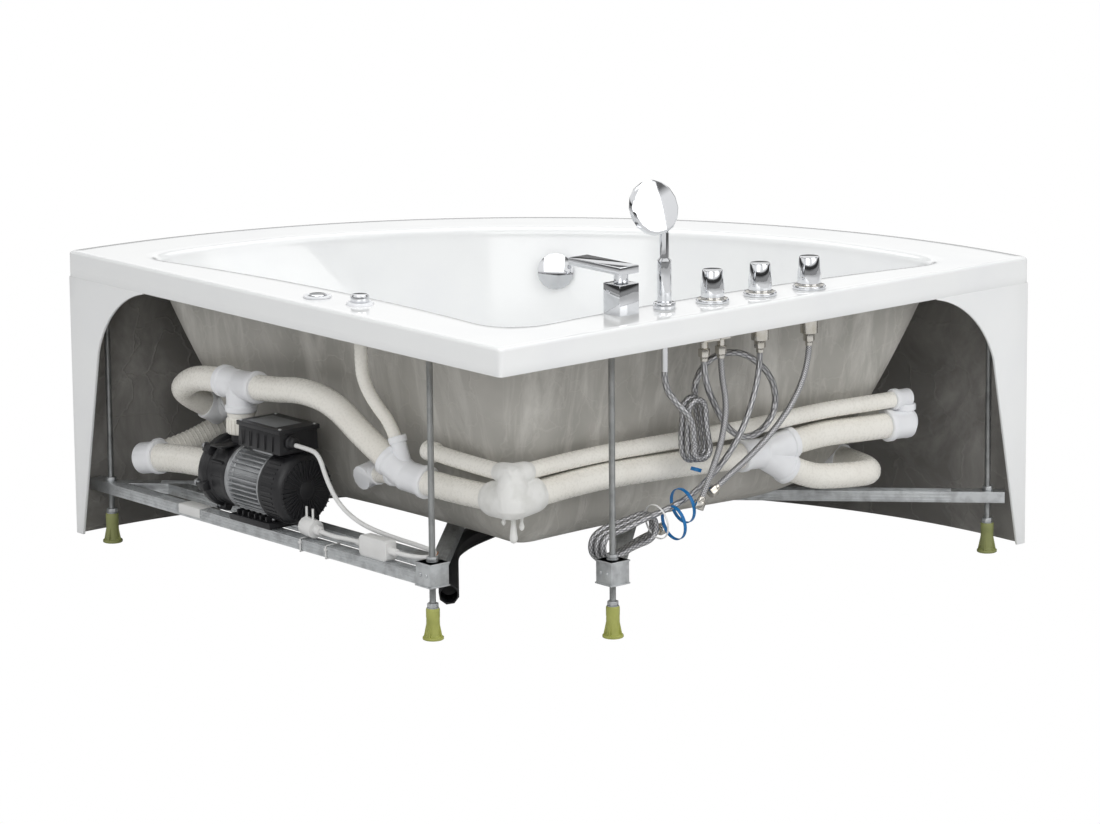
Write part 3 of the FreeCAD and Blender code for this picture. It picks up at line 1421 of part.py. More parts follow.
hoses = [
    free_cord("shower hose, upper", SHOWER_DROP, size.shower_hose_dia),
    wound("shower hose, wound", shower_hank, size.shower_hose_dia),
    free_cord("shower hose, loop", SHOWER_LOOP, size.shower_hose_dia),
    free_cord("spout hose", SPOUT_HOSE, size.supply_hose_dia),
    free_cord("cold hose", COLD_HOSE, size.supply_hose_dia),
    free_cord("hot hose", HOT_HOSE, size.supply_hose_dia),
    wound("hot hose, wound", hot_hank, size.supply_hose_dia),
]
keep(made("braided_hoses", Part.makeCompound(hoses)))


def hose_nut(start, way):
    """A hexagon nut on a hose's end."""
    blank = Part.makePolygon([
        Vector(math.cos(math.radians(60 * index)), math.sin(math.radians(60 * index)), 0)
        * (size.hose_nut_width / 2 / math.cos(math.pi / 6)) for index in range(7)
    ])
    nut_solid = Part.Face(blank).extrude(UP * size.hose_nut_length)
    nut_solid.Placement = Placement(start, Rotation(UP, way))
    return nut_solid


def route_end(route):
    points = [point if isinstance(point, Vector) else spot(*point) for point in route[-2:]]
    return points[1], (points[1] - points[0]).normalize()


hose_nuts = [hose_nut(spot(*port), UP) for port in (hose_port, spout_port)]
hose_nuts += [hose_nut(spot(*route[0]), UP) for route in (HOT_HOSE, COLD_HOSE)]
hose_nuts += [hose_nut(*route_end(route)) for route in (SPOUT_HOSE, COLD_HOSE)]
hose_nuts.append(hose_nut(hot_hank_end, -lower_way))
keep(made("hose_nuts", Part.makeCompound(hose_nuts)))

gland_end = (size.pump_along - size.motor_length / 2 - 26 - size.box_length / 2 - 20, size.pump_out - 22,
             size.pump_level + size.motor_dia / 2 + 8.3 + size.box_height / 2)
rail_face = size.rail_level + size.rail_height / 2
breaker_size = Vector(82, 26, 40)
breaker_along = 424
breaker_up = rail_face + 0.3
lead_up = breaker_up + breaker_size.z / 2
breaker_out = size.leg_inset + 2
breaker_start = breaker_along - breaker_size.x / 2 - 18
LEAD = [
    gland_end, (650, gland_end[1], gland_end[2]), (612, 56, 292), (590, 56, 246), (558, 60, 202),
    (506, 70, 172),
    (440, 90, 156), (366, 101, 150), (300, 101, lead_up), (300, breaker_out, lead_up),
    (breaker_start, breaker_out, lead_up),
]
PLUG_LEAD = [(breaker_along + breaker_size.x / 2 + 18, breaker_out, lead_up), (518, breaker_out, lead_up),
             (554, 43, lead_up - 3), (592, 42, lead_up + 1)]
leads = [
    free_cord("mains_lead, pump side", LEAD, size.lead_dia),
    free_cord("mains_lead, plug side", PLUG_LEAD, size.lead_dia),
]
keep(made("mains_lead", Part.makeCompound(leads)))

breaker = Part.makeBox(breaker_size.x, breaker_size.y, breaker_size.z)
breaker = breaker.makeChamfer(5, [e for e in breaker.Edges if e.BoundBox.YLength > breaker_size.y - 1])
breaker_low = (breaker_along - breaker_size.x / 2, breaker_out + breaker_size.y / 2, breaker_up)
breaker.Placement.Base = spot(*breaker_low)
for side in (1, -1):
    relief = spot(breaker_along + side * breaker_size.x / 2, breaker_out, lead_up)
    breaker = breaker.fuse(facet_bar(relief, ALONG * side, 18, 15, 10))
keep(made("residual_current_breaker", breaker))

plug_start, plug_way = route_end(PLUG_LEAD)
plug_body = facet_bar(Vector(0, 0, 14), UP, 34, 36, 12).fuse(facet_bar(Vector(), UP, 14, 18, 10))
plug_body.Placement = Placement(plug_start, Rotation(UP, plug_way))
for side in (-9.5, 9.5):
    pin_foot = plug_start + plug_way * (33 + side)
    plug_body = plug_body.fuse(facet_bar(pin_foot, UP, 38, 4.8, 6))
keep(made("mains_plug", plug_body))

# ---------------------------------------------------------------- check and write
doc.recompute()

for item in doc.Objects:
    if "Invalid" in item.State or "Error" in item.State:
        raise SystemExit(f"{item.Label} failed: {item.State}")
for name, piece in nodes.items():
    if piece.Shape.isNull() or not piece.Shape.isValid():
        raise SystemExit(f"{name} has no valid shape")
    if not piece.Shape.Solids:
        raise SystemExit(f"{name} has no solid")
for name, piece in nodes.items():
    piece.Shape.exportStep(f"parts/{name}.step")
print(f"{len(nodes)} sub-parts written")
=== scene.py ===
# %% [markdown]
# A corner jetted bathtub, seen from its wall corner, with its frame, pump and pipes in view.
# The imported CAD model is the fixed frame of the scene: each finished piece is built at its own place
# in metres, so nothing has to be moved afterwards.

import math

import bmesh
import bpy
import numpy as np
from mathutils import Matrix, Vector


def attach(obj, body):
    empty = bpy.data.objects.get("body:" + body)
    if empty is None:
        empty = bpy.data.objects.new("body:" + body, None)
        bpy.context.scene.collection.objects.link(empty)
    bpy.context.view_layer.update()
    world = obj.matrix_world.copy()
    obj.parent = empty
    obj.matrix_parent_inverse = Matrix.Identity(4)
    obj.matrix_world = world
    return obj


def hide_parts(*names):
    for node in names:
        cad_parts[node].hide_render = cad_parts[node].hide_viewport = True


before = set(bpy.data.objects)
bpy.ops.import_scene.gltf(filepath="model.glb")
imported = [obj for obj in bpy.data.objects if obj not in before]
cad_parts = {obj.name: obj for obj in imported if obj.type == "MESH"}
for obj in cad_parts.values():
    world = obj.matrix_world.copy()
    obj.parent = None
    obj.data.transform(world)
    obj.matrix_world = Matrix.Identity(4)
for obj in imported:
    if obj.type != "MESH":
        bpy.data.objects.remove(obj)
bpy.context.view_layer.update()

# %% [markdown]
# The bathtub was measured from its wall corner: `along` the pump wall, `out` along the tap wall and
# `up` from the floor, in millimetres. One small function turns such a place into scene metres.

# %% Places and directions
HALF_SIDE = 675
UP = Vector((0, 0, 1))
ALONG = Vector((1, 0, 0))
OUT = Vector((0, -1, 0))


def spot(along, out, up):
    return Vector((along - HALF_SIDE, HALF_SIDE - out, up)) / 1000


def heading(along, out, up):
    return Vector((along, -out, up)).normalized()


def spots(route):
    return [spot(*place) if isinstance(place, tuple) else place for place in route]


print("wall corner on the floor at", tuple(round(v, 3) for v in spot(0, 0, 0)))

# %% [markdown]
# The camera stands far off and a little above the deck, with a long lens, so the two walls of the tub
# look almost as in a drawing. Its place and turn come from the straight edges of deck and frame.

# %% Camera
camera_data = bpy.data.cameras.new("view_from_wall_corner")
camera_data.lens = 158.9
camera_data.sensor_width = 36
camera = bpy.data.objects.new("view_from_wall_corner", camera_data)
bpy.context.collection.objects.link(camera)
look = Vector((0.747, -0.630, -0.212)).normalized()
right = look.cross(UP).normalized()
upright = right.cross(look)
roll = -0.009
right_rolled = right * math.cos(roll) + upright * math.sin(roll)
up_rolled = upright * math.cos(roll) - right * math.sin(roll)
turn = Matrix((right_rolled, up_rolled, -look)).transposed()
camera.matrix_world = Matrix.Translation((-7.242, 6.097, 2.327)) @ turn.to_4x4()
bpy.context.scene.camera = camera
print("camera at", tuple(round(v, 2) for v in camera.location))

# %% [markdown]
# Several finishes share the same small irregularities: a slow change of tone, and a fine grain that
# the light catches. One shader node group makes both from object coordinates, so a pattern never
# slides, and every material feeds it its own colours, scale and stretch.

# %% Shared grain
def socket(group, name, kind, value=None, way="INPUT"):
    made = group.interface.new_socket(name=name, in_out=way, socket_type=kind)
    if value is not None:
        made.default_value = value


def join(tree, start, end):
    tree.links.new(start, end)


def node(tree, kind, inputs=None, **settings):
    """A node whose inputs are each linked to a socket, or given a constant."""
    made = tree.nodes.new(kind)
    for name, value in settings.items():
        setattr(made, name, value)
    for label, value in (inputs or {}).items():
        if isinstance(value, bpy.types.NodeSocket):
            join(tree, value, made.inputs[label])
        else:
            made.inputs[label].default_value = value
    return made


def group_of(name, values, results):
    """A shader group with its inputs, their usual values, and its outputs."""
    group = bpy.data.node_groups.new(name, "ShaderNodeTree")
    for label, value in values.items():
        kind = {3: "Vector", 4: "Color"}[len(value)] if isinstance(value, tuple) else "Float"
        socket(group, label, f"NodeSocket{kind}", value)
    for label, kind in results.items():
        socket(group, label, f"NodeSocket{kind}", way="OUTPUT")
    entry = node(group, "NodeGroupInput")
    place = node(group, "ShaderNodeTexCoord").outputs["Object"]
    return group, entry.outputs, place


RESULTS = {"Colour": "Color", "Roughness": "Float", "Normal": "Vector"}


def grain_group():
    group, given, place = group_of("toned_grain", {
        "Tone": (0.8, 0.8, 0.8, 1), "Second tone": (0.6, 0.6, 0.6, 1), "Stretch": (1, 1, 1),
        "Patch scale": 6.0, "Patch low": 0.45, "Patch high": 0.75, "Grain scale": 300.0,
        "Grain depth": 0.1, "Smoothest": 0.3, "Roughest": 0.5}, RESULTS)
    mapping = node(group, "ShaderNodeMapping", {"Vector": place, "Scale": given["Stretch"]})
    stretched = mapping.outputs["Vector"]
    patch = node(group, "ShaderNodeTexNoise", {"Detail": 6, "Vector": stretched,
                                               "Scale": given["Patch scale"]})
    limit = node(group, "ShaderNodeMapRange", {"Value": patch.outputs["Fac"], "From Min": given["Patch low"],
                                               "From Max": given["Patch high"]})
    mix = node(group, "ShaderNodeMix", {"Factor": limit.outputs["Result"], "A": given["Tone"],
                                        "B": given["Second tone"]}, data_type="RGBA")
    fine = node(group, "ShaderNodeTexNoise", {"Detail": 3, "Vector": stretched,
                                              "Scale": given["Grain scale"]})
    sheen = node(group, "ShaderNodeMapRange", {"Value": fine.outputs["Fac"], "To Min": given["Smoothest"],
                                               "To Max": given["Roughest"]})
    bump = node(group, "ShaderNodeBump", {"Distance": 0.0006, "Height": fine.outputs["Fac"],
                                          "Strength": given["Grain depth"]})
    node(group, "NodeGroupOutput", {"Colour": mix.outputs["Result"], "Roughness": sheen.outputs["Result"],
                                    "Normal": bump.outputs["Normal"]})
    return group


GRAIN = grain_group()
finishes = {}


def shaded(name):
    """A new material, its node tree and its shader."""
    material = bpy.data.materials.new(name)
    material.use_nodes = True
    finishes[name] = material
    return material, material.node_tree, material.node_tree.nodes["Principled BSDF"]


def dress_shader(tree, shader, group, values):
    """Put a group with these values in front of a shader."""
    texture = node(tree, "ShaderNodeGroup", values, node_tree=group)
    for result, label in (("Colour", "Base Color"), ("Roughness", "Roughness"), ("Normal", "Normal")):
        join(tree, texture.outputs[result], shader.inputs[label])


def finish(name, tone, second, smooth, rough, metal=0.0, stretch=(1, 1, 1), patch=6.0, low=0.45, high=0.75,
           grain=300.0, depth=0.08, coat=0.0):
    """A material with its own values in the shared grain."""
    material, tree, shader = shaded(name)
    shader.inputs["Metallic"].default_value = metal
    shader.inputs["Coat Weight"].default_value = coat
    shader.inputs["Coat Roughness"].default_value = 0.05
    values = {"Tone": (*tone, 1), "Second tone": (*second, 1), "Stretch": stretch, "Patch scale": patch,
              "Patch low": low, "Patch high": high, "Grain scale": grain, "Grain depth": depth,
              "Smoothest": smooth, "Roughest": rough}
    dress_shader(tree, shader, GRAIN, values)
    return material


acrylic = finish("white_acrylic", (0.87, 0.88, 0.88), (0.84, 0.85, 0.86), 0.06, 0.12, coat=0.4,
                 grain=12, depth=0.02)
zinc = finish("galvanised_steel", (0.63, 0.65, 0.66), (0.41, 0.42, 0.43), 0.28, 0.5, metal=0.9, patch=45,
              grain=500)
thread_steel = finish("zinc_plated_thread", (0.50, 0.51, 0.52), (0.32, 0.33, 0.34), 0.25, 0.42,
                      metal=0.95, patch=30)
chrome = finish("polished_chrome", (0.72, 0.73, 0.75), (0.68, 0.69, 0.71), 0.03, 0.07, metal=1.0,
                patch=8, depth=0.01)
black_plastic = finish("black_moulded_plastic", (0.012, 0.012, 0.014), (0.022, 0.022, 0.024), 0.3, 0.45,
                       patch=20, grain=700, depth=0.2)
motor_alloy = finish("cast_motor_alloy", (0.46, 0.47, 0.48), (0.34, 0.35, 0.36), 0.3, 0.45, metal=0.7,
                     patch=25, grain=500, depth=0.25)
pipe_white = finish("white_pipe", (0.87, 0.85, 0.79), (0.80, 0.775, 0.71), 0.22, 0.34, patch=9,
                    grain=200, depth=0.05)
fitting_white = finish("white_fitting", (0.87, 0.88, 0.90), (0.80, 0.81, 0.83), 0.25, 0.38, patch=14,
                       grain=250)
epoxy = finish("white_epoxy", (0.80, 0.80, 0.78), (0.66, 0.66, 0.63), 0.35, 0.6, patch=30, grain=120,
               depth=0.6)
foot_olive = finish("olive_foot", (0.27, 0.29, 0.11), (0.20, 0.22, 0.08), 0.4, 0.6, patch=30)
foot_yellow = finish("yellow_green_foot", (0.42, 0.44, 0.12), (0.32, 0.34, 0.08), 0.4, 0.6, patch=30)
timber = finish("plain_timber", (0.50, 0.36, 0.20), (0.36, 0.25, 0.13), 0.6, 0.8, stretch=(1, 6, 6), patch=18)
cable_white = finish("white_flex", (0.80, 0.80, 0.79), (0.74, 0.74, 0.73), 0.3, 0.42, patch=20, grain=400)
tie_blue = finish("blue_tie", (0.0, 0.16, 0.44), (0.0, 0.12, 0.36), 0.35, 0.5, patch=40)
brass = finish("plated_nut", (0.62, 0.60, 0.56), (0.50, 0.47, 0.40), 0.12, 0.25, metal=1.0, patch=60)
earth_green = finish("earth_wire", (0.42, 0.50, 0.05), (0.08, 0.30, 0.06), 0.4, 0.5, patch=60,
                     low=0.45, high=0.55)
copper = finish("copper_wire", (0.60, 0.28, 0.12), (0.45, 0.20, 0.08), 0.3, 0.45, metal=0.8)
grey_plate = finish("bare_grey_plate", (0.28, 0.29, 0.30), (0.22, 0.23, 0.24), 0.3, 0.4, metal=0.5)
print("finishes so far:", len(finishes))

# %% [markdown]
# The outside of the basin and the inside of the skirt are glass fibre in resin, brushed on by hand.
# The outside has pale vertical runs and cloudy patches; the inside of the skirt is darker, with
# scratches in all directions. A second group draws the runs and scratches as a height, so the same
# marks change both the colour and the way that light falls on them.

# %% Glass fibre
def fibre_group():
    group, given, place = group_of("brushed_fibre", {
        "Dark": (0.2, 0.2, 0.2, 1), "Middle": (0.35, 0.35, 0.34, 1), "Pale": (0.5, 0.5, 0.48, 1),
        "Run stretch": (14, 14, 1.2), "Cloud scale": 4.0, "Scratch scale": 22.0, "Relief": 0.5}, RESULTS)

    def ranged(value, low=0.0, high=1.0, least=0.0, most=1.0):
        values = {"Value": value, "From Min": low, "From Max": high, "To Min": least, "To Max": most}
        return node(group, "ShaderNodeMapRange", values).outputs["Result"]

    def reckoned(operation, first, second):
        return node(group, "ShaderNodeMath", {0: first, 1: second}, operation=operation).outputs["Value"]

    def mixed(factor, first, second, kind="RGBA"):
        return node(group, "ShaderNodeMix", {"Factor": factor, "A": first, "B": second}, data_type=kind
                    ).outputs["Result"]

    mapping = node(group, "ShaderNodeMapping", {"Vector": place, "Scale": given["Run stretch"]})
    runs = node(group, "ShaderNodeTexNoise", {"Scale": 1.0, "Detail": 8, "Roughness": 0.65, "Distortion": 0.6,
                                              "Vector": mapping.outputs["Vector"]}).outputs["Fac"]
    clouds = node(group, "ShaderNodeTexNoise", {"Detail": 5, "Vector": place, "Scale": given["Cloud scale"]}
                  ).outputs["Fac"]
    warped = node(group, "ShaderNodeTexNoise", {"Scale": 9, "Detail": 4, "Vector": place}).outputs["Color"]
    moved = mixed(0.12, place, warped, "VECTOR")
    scratches = node(group, "ShaderNodeTexVoronoi", {"Vector": moved, "Scale": given["Scratch scale"]},
                     feature="DISTANCE_TO_EDGE").outputs["Distance"]
    patchy = reckoned("MULTIPLY", ranged(scratches, high=0.03, least=1.0, most=0.0), clouds)
    base = mixed(ranged(clouds, low=0.35, high=0.65), given["Dark"], given["Middle"])
    streaked = mixed(ranged(runs, low=0.48, high=0.72), base, given["Pale"])
    scored = mixed(reckoned("MULTIPLY", patchy, 0.5), streaked, given["Pale"])
    bump = node(group, "ShaderNodeBump", {"Distance": 0.003, "Height": reckoned("ADD", runs, patchy),
                                          "Strength": given["Relief"]})
    node(group, "NodeGroupOutput", {"Colour": scored, "Roughness": ranged(runs, least=0.32, most=0.62),
                                    "Normal": bump.outputs["Normal"]})
    return group


FIBRE = fibre_group()


def fibre_finish(name, dark, middle, pale, stretch, cloud, scratch, relief):
    material, tree, shader = shaded(name)
    dress_shader(tree, shader, FIBRE, {
        "Dark": (*dark, 1), "Middle": (*middle, 1), "Pale": (*pale, 1), "Run stretch": stretch,
        "Cloud scale": cloud, "Scratch scale": scratch, "Relief": relief})
    return material


fibre_basin = fibre_finish("fibre_under_basin", (0.37, 0.36, 0.33), (0.49, 0.475, 0.44), (0.63, 0.615, 0.575),
                           (16, 16, 2.2), 5.0, 14.0, 0.35)
fibre_skirt = fibre_finish("fibre_in_skirt", (0.20, 0.192, 0.18), (0.275, 0.265, 0.25), (0.40, 0.385, 0.365),
                           (5, 5, 5), 4.0, 11.0, 0.6)
print("glass fibre finishes:", fibre_basin.name, fibre_skirt.name)

# %% [markdown]
# Braided steel hose shows a fine criss-cross of wires. The curve's own UV runs round and along the
# hose, so two sets of slanting bands, one each way, give the weave at the right size.

# %% Braid
def braid_finish(name, tone, gap, turns, picks):
    material, tree, shader = shaded(name)
    shader.inputs["Metallic"].default_value = 0.85
    shader.inputs["Roughness"].default_value = 0.32
    place = node(tree, "ShaderNodeTexCoord").outputs["UV"]
    scaled = node(tree, "ShaderNodeMapping", {"Vector": place, "Scale": (picks, turns, 1)}).outputs["Vector"]
    split = node(tree, "ShaderNodeSeparateXYZ", {"Vector": scaled})
    bands = []
    for operation in ("ADD", "SUBTRACT"):
        both = node(tree, "ShaderNodeMath", {0: split.outputs["X"], 1: split.outputs["Y"]},
                    operation=operation)
        fold = node(tree, "ShaderNodeMath", {0: both.outputs["Value"], 1: 0.5}, operation="PINGPONG")
        bands.append(fold.outputs["Value"])
    weave = node(tree, "ShaderNodeMath", {0: bands[0], 1: bands[1]}, operation="MULTIPLY").outputs["Value"]
    level = node(tree, "ShaderNodeMapRange", {"From Max": 0.12, "Value": weave}).outputs["Result"]
    colour = node(tree, "ShaderNodeMix", {"A": (*gap, 1), "B": (*tone, 1), "Factor": level}, data_type="RGBA")
    join(tree, colour.outputs["Result"], shader.inputs["Base Color"])
    bump = node(tree, "ShaderNodeBump", {"Strength": 0.5, "Distance": 0.0008, "Height": level})
    join(tree, bump.outputs["Normal"], shader.inputs["Normal"])
    return material


braid = braid_finish("braided_steel", (0.60, 0.60, 0.61), (0.20, 0.20, 0.21), 6, 90)
print("materials:", ", ".join(sorted(finishes)))

# %% [markdown]
# A hose that hangs is one smooth curve through its few chosen points. A NURBS curve of order 3 cuts
# the corners between them as a real hose does. The shower hose and the hot hose are each wound up part
# of the way; their turns are further points of the same curve, so no joint shows.

# %% Limp hoses and leads
declarations = []


def limp(name, route, diameter, length, material, far_end, stiffness):
    curve = bpy.data.curves.new(name, "CURVE")
    curve.dimensions = "3D"
    line = curve.splines.new("NURBS")
    line.points.add(len(route) - 1)
    for point, place in zip(line.points, route):
        point.co = (*place, 1)
    line.order_u = 3
    line.use_endpoint_u = True
    line.resolution_u = 8
    curve.bevel_depth = diameter / 2
    curve.bevel_resolution = 4
    curve.use_fill_caps = True
    hose = bpy.data.objects.new(name, curve)
    bpy.context.collection.objects.link(hose)
    curve.materials.append(material)
    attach(hose, "tub")
    declarations.append((hose, tuple(route[0]), length, diameter, far_end, stiffness))
    print(name, len(route), "points,", round(length, 3), "m")
    return hose


def bend(centre, across, drop, radius):
    """The corners that a hose's spline rounds as it turns back on itself."""
    wide = radius / math.cos(math.pi / 8)
    angles = [math.pi / 8 * step for step in (1, 3, 5, 7)]
    return [centre - across * wide * math.cos(angle) + drop * wide * math.sin(angle) for angle in angles]


def turns(start, length, width, drop, across, deep, pitch, loops, first_run, growth, tail):
    """Points of a hose wound in long loops that step sideways and grow a little."""
    points = []
    here = start
    for index in range(loops):
        run = first_run if index == 0 else length + growth * (2 * index - 1)
        below = here + drop * run
        turned = below + across * width
        rise = length + growth * 2 * index
        top = turned - drop * rise + deep * pitch
        bow = across * (0.004 * (index - 1))
        points += [here + drop * run * 0.3, here + drop * run * 0.7 - bow]
        points += bend((below + turned) / 2, across, drop, width / 2)
        points += [turned + (top - turned) * 0.35 + bow, turned + (top - turned) * 0.65 + bow]
        if index < loops - 1:
            here = top - across * width
            points += bend((top + here) / 2, -across, -drop, width / 2)
    return points + [top, top - drop * tail]


MM = 0.001
shower_start = spot(62, 520, 345)
shower_wound = turns(shower_start, 66 * MM, 44 * MM, -UP, OUT, ALONG, 14.8 * MM, 3, 22 * MM, 3 * MM, 14 * MM)
shower_route = spots([(87, 471, 475), (87, 471, 446), (78, 488, 416), (65, 512, 388), (62, 520, 366)])
shower_route += shower_wound
shower_route += spots([(106.4, 564, 434), (108, 583, 464), (111, 621, 482), (112, 670, 482), (112, 718, 464),
                       (111, 770, 416), (106, 774, 356), (100, 732, 320), (92, 676, 314), (84, 626, 342),
                       (78, 588, 396), (73, 557.5, 450), (73, 557.5, 493)])
shower_hose = limp("shower_hose", shower_route, 0.013, 1.557, braid, "object", "medium")
spout_route = spots([(73, 600.5, 493), (73, 600.5, 455), (52, 597, 398), (42, 574, 332), (40, 546, 278),
                     (42, 520, 226)])
spout_hose = limp("spout_hose", spout_route, 0.012, 0.287, braid, "connector", "medium")
cold_route = spots([(50, 806, 493), (50, 806, 455), (48, 772, 388), (45, 712, 334), (44, 648, 292),
                    (44, 594, 264), (43, 558, 244)])
cold_hose = limp("cold_hose", cold_route, 0.012, 0.371, braid, "connector", "medium")
lower_way = heading(0, -0.985, -0.17)
lower_across = heading(0, 0.17, -0.985)
hot_start = spot(79.5, 434, 206)
hot_wound = turns(hot_start, 92 * MM, 52 * MM, lower_way, lower_across, ALONG, 13.6 * MM, 3, 104 * MM, 3 * MM,
                  46 * MM)
hot_route = spots([(64, 692, 493), (64, 692, 455), (54, 662, 388), (48, 620, 326), (54, 572, 274),
                   (70, 520, 230)])
hot_route += [hot_start - lower_way * 42 * MM] + hot_wound
hot_hose = limp("hot_hose", hot_route, 0.012, 1.469, braid, "connector", "medium")
lead_up = 145.3
lead_route = spots([(696, 58, 296.3), (650, 58, 296.3), (612, 56, 292), (590, 56, 246), (558, 60, 202),
                    (506, 70, 172), (440, 90, 156), (366, 101, 150), (300, 101, lead_up), (300, 47, lead_up),
                    (365, 47, lead_up)])
plug_route = spots([(483, 47, lead_up), (518, 47, lead_up), (554, 43, 142.3), (592, 42, 146.3)])
mains_lead = limp("mains_lead_to_breaker", lead_route, 0.009, 0.556, cable_white, "fitting", "medium")
plug_lead = limp("mains_lead_to_plug", plug_route, 0.009, 0.109, cable_white, "plug", "medium")
for hose in (shower_hose, spout_hose, cold_hose, hot_hose):
    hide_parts("braided_hoses")
for lead in (mains_lead, plug_lead):
    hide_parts("mains_lead")
print("hoses and leads are in place")

# %% [markdown]
# Most pieces of a bathtub's plumbing are turned, drawn or folded. One small class gathers corners and
# faces for them: a turned part from its half section, a tube along a centre line, a block, a nut, and
# a strap round a bundle. A piece may be several closed forms that overlap, where joining them would
# change nothing that is seen. Each finished piece then gets its materials, a softened edge, and the
# body of the frame that it moves with.

# %% Building pieces
class Form:
    """Corners and faces of one piece, gathered part by part."""

    def __init__(self):
        self.corners = []
        self.faces = []
        self.kinds = []

    def add(self, corners, faces, kind=0):
        base = len(self.corners)
        self.corners += [tuple(corner) for corner in corners]
        self.faces += [tuple(base + index for index in face) for face in faces]
        self.kinds += [kind] * len(faces)

    def rings(self, rings, kind=0, caps=True):
        """Skin over closed rings of equal count, with flat ends."""
        count = len(rings[0])
        faces = []
        for ring in range(len(rings) - 1):
            for index in range(count):
                after = (index + 1) % count
                base = ring * count
                faces.append((base + index, base + after, base + count + after, base + count + index))
        if caps:
            last = (len(rings) - 1) * count
            faces.append(tuple(reversed(range(count))))
            faces.append(tuple(last + index for index in range(count)))
        self.add([corner for ring in rings for corner in ring], faces, kind)

    def turned(self, profile, base, way, sides=48, kind=0):
        """A turned part from radius and height in millimetres, on an axis."""
        turn = way.to_track_quat("Z", "Y")
        rings = []
        for radius, height in profile:
            radius = max(radius, 0.02) * MM
            ring = []
            for index in range(sides):
                angle = 2 * math.pi * index / sides
                place = Vector((radius * math.cos(angle), radius * math.sin(angle), height * MM))
                ring.append(base + turn @ place)
            rings.append(ring)
        self.rings(rings, kind)

    def tube(self, line, dia, sides=24, kind=0, caps=True):
        """A tube along a line of points; its diameter in metres may change along it."""
        tangents = [(after - before).normalized() for before, after in zip(line, line[1:])]
        between = [(a + b).normalized() for a, b in zip(tangents, tangents[1:])]
        tangents = [tangents[0], *between, tangents[-1]]
        side = tangents[0].orthogonal().normalized()
        rings = []
        for place, tangent, index in zip(line, tangents, range(len(line))):
            side = (side - tangent * side.dot(tangent)).normalized()
            other = tangent.cross(side)
            radius = (dia[index] if isinstance(dia, list) else dia) / 2
            angles = [2 * math.pi * step / sides for step in range(sides)]
            rings.append([place + (side * math.cos(a) + other * math.sin(a)) * radius for a in angles])
        self.rings(rings, kind, caps)

    def block(self, centre, sides, ways=(ALONG, OUT, UP), kind=0, taper=1.0):
        """A block about its middle, sides in millimetres, narrowed towards its top if wanted."""
        half = [side * MM / 2 for side in sides]
        corners = []
        for high in (-1, 1):
            narrow = taper if high > 0 else 1.0
            for x, y in ((-1, -1), (1, -1), (1, 1), (-1, 1)):
                corners.append(centre + ways[0] * x * half[0] * narrow + ways[1] * y * half[1] * narrow
                               + ways[2] * high * half[2])
        faces = [(0, 1, 2, 3), (7, 6, 5, 4), (4, 5, 1, 0), (5, 6, 2, 1), (6, 7, 3, 2), (7, 4, 0, 3)]
        self.add(corners, faces, kind)

    def strap(self, centre, way, side, reach, rise, width, thick, kind=0, steps=40):
        """A band wound round a bundle: an oval of flat strip."""
        other = way.cross(side).normalized()
        rings = []
        for step in range(steps):
            angle = 2 * math.pi * step / steps
            out = side * math.cos(angle) * reach * MM + other * math.sin(angle) * rise * MM
            flat = (side * math.cos(angle) / reach + other * math.sin(angle) / rise).normalized()
            edge = way * width * MM / 2
            skin = flat * thick * MM
            rings.append([centre + out - edge, centre + out + edge, centre + out + edge + skin,
                          centre + out - edge + skin])
        faces = []
        for step in range(steps):
            here, there = step * 4, (step + 1) % steps * 4
            for index in range(4):
                following = (index + 1) % 4
                faces.append((here + index, here + following, there + following, there + index))
        self.add([corner for ring in rings for corner in ring], faces, kind)

    def hexagon(self, centre, way, across, height, kind=0):
        """A hexagon nut or bolt head with its corners taken off."""
        r, taken = across / math.sqrt(3), 0.8
        self.turned([(0, 0), (r * 0.9, 0), (r, taken), (r, height - taken), (r * 0.9, height), (0, height)],
                    centre, way, 6, kind)


def settle(shape):
    """Make what the modifiers do permanent, as one plain mesh."""
    bpy.context.view_layer.update()
    view = bpy.context.evaluated_depsgraph_get()
    plain = bpy.data.meshes.new_from_object(shape.evaluated_get(view))
    shape.modifiers.clear()
    shape.data = plain
    return shape


def outwards(mesh):
    """Turn every face outwards."""
    work = bmesh.new()
    work.from_mesh(mesh)
    bmesh.ops.recalc_face_normals(work, faces=work.faces)
    work.to_mesh(mesh)
    work.free()


def finished(shape, slot, body="tub", stands_for=(), ease=0.0, crease=38, melt=0.0):
    """Melt or ease the edges, smooth the shading, and hand the piece to the frame."""
    outwards(shape.data)
    if melt:
        remesh = shape.modifiers.new("melt", "REMESH")
        remesh.mode = "VOXEL"
        remesh.voxel_size = melt * MM
        relax = shape.modifiers.new("relax", "SMOOTH")
        relax.iterations = 5
        settle(shape)
    if ease:
        bevel = shape.modifiers.new("ease", "BEVEL")
        bevel.width = ease * MM
        bevel.segments = 2
        bevel.limit_method = "ANGLE"
        bevel.angle_limit = math.radians(35)
        bevel.use_clamp_overlap = True
        settle(shape)
    for polygon in shape.data.polygons:
        polygon.use_smooth = True
    shape.data.set_sharp_from_angle(angle=math.radians(crease))
    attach(shape, body)
    if stands_for:
        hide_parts(*stands_for)
    return shape


def piece(name, form, materials, slot, **settings):
    mesh = bpy.data.meshes.new(name)
    mesh.from_pydata(form.corners, [], form.faces)
    for material in materials:
        mesh.materials.append(material)
    mesh.polygons.foreach_set("material_index", form.kinds)
    shape = bpy.data.objects.new(name, mesh)
    bpy.context.collection.objects.link(shape)
    return finished(shape, slot, **settings)


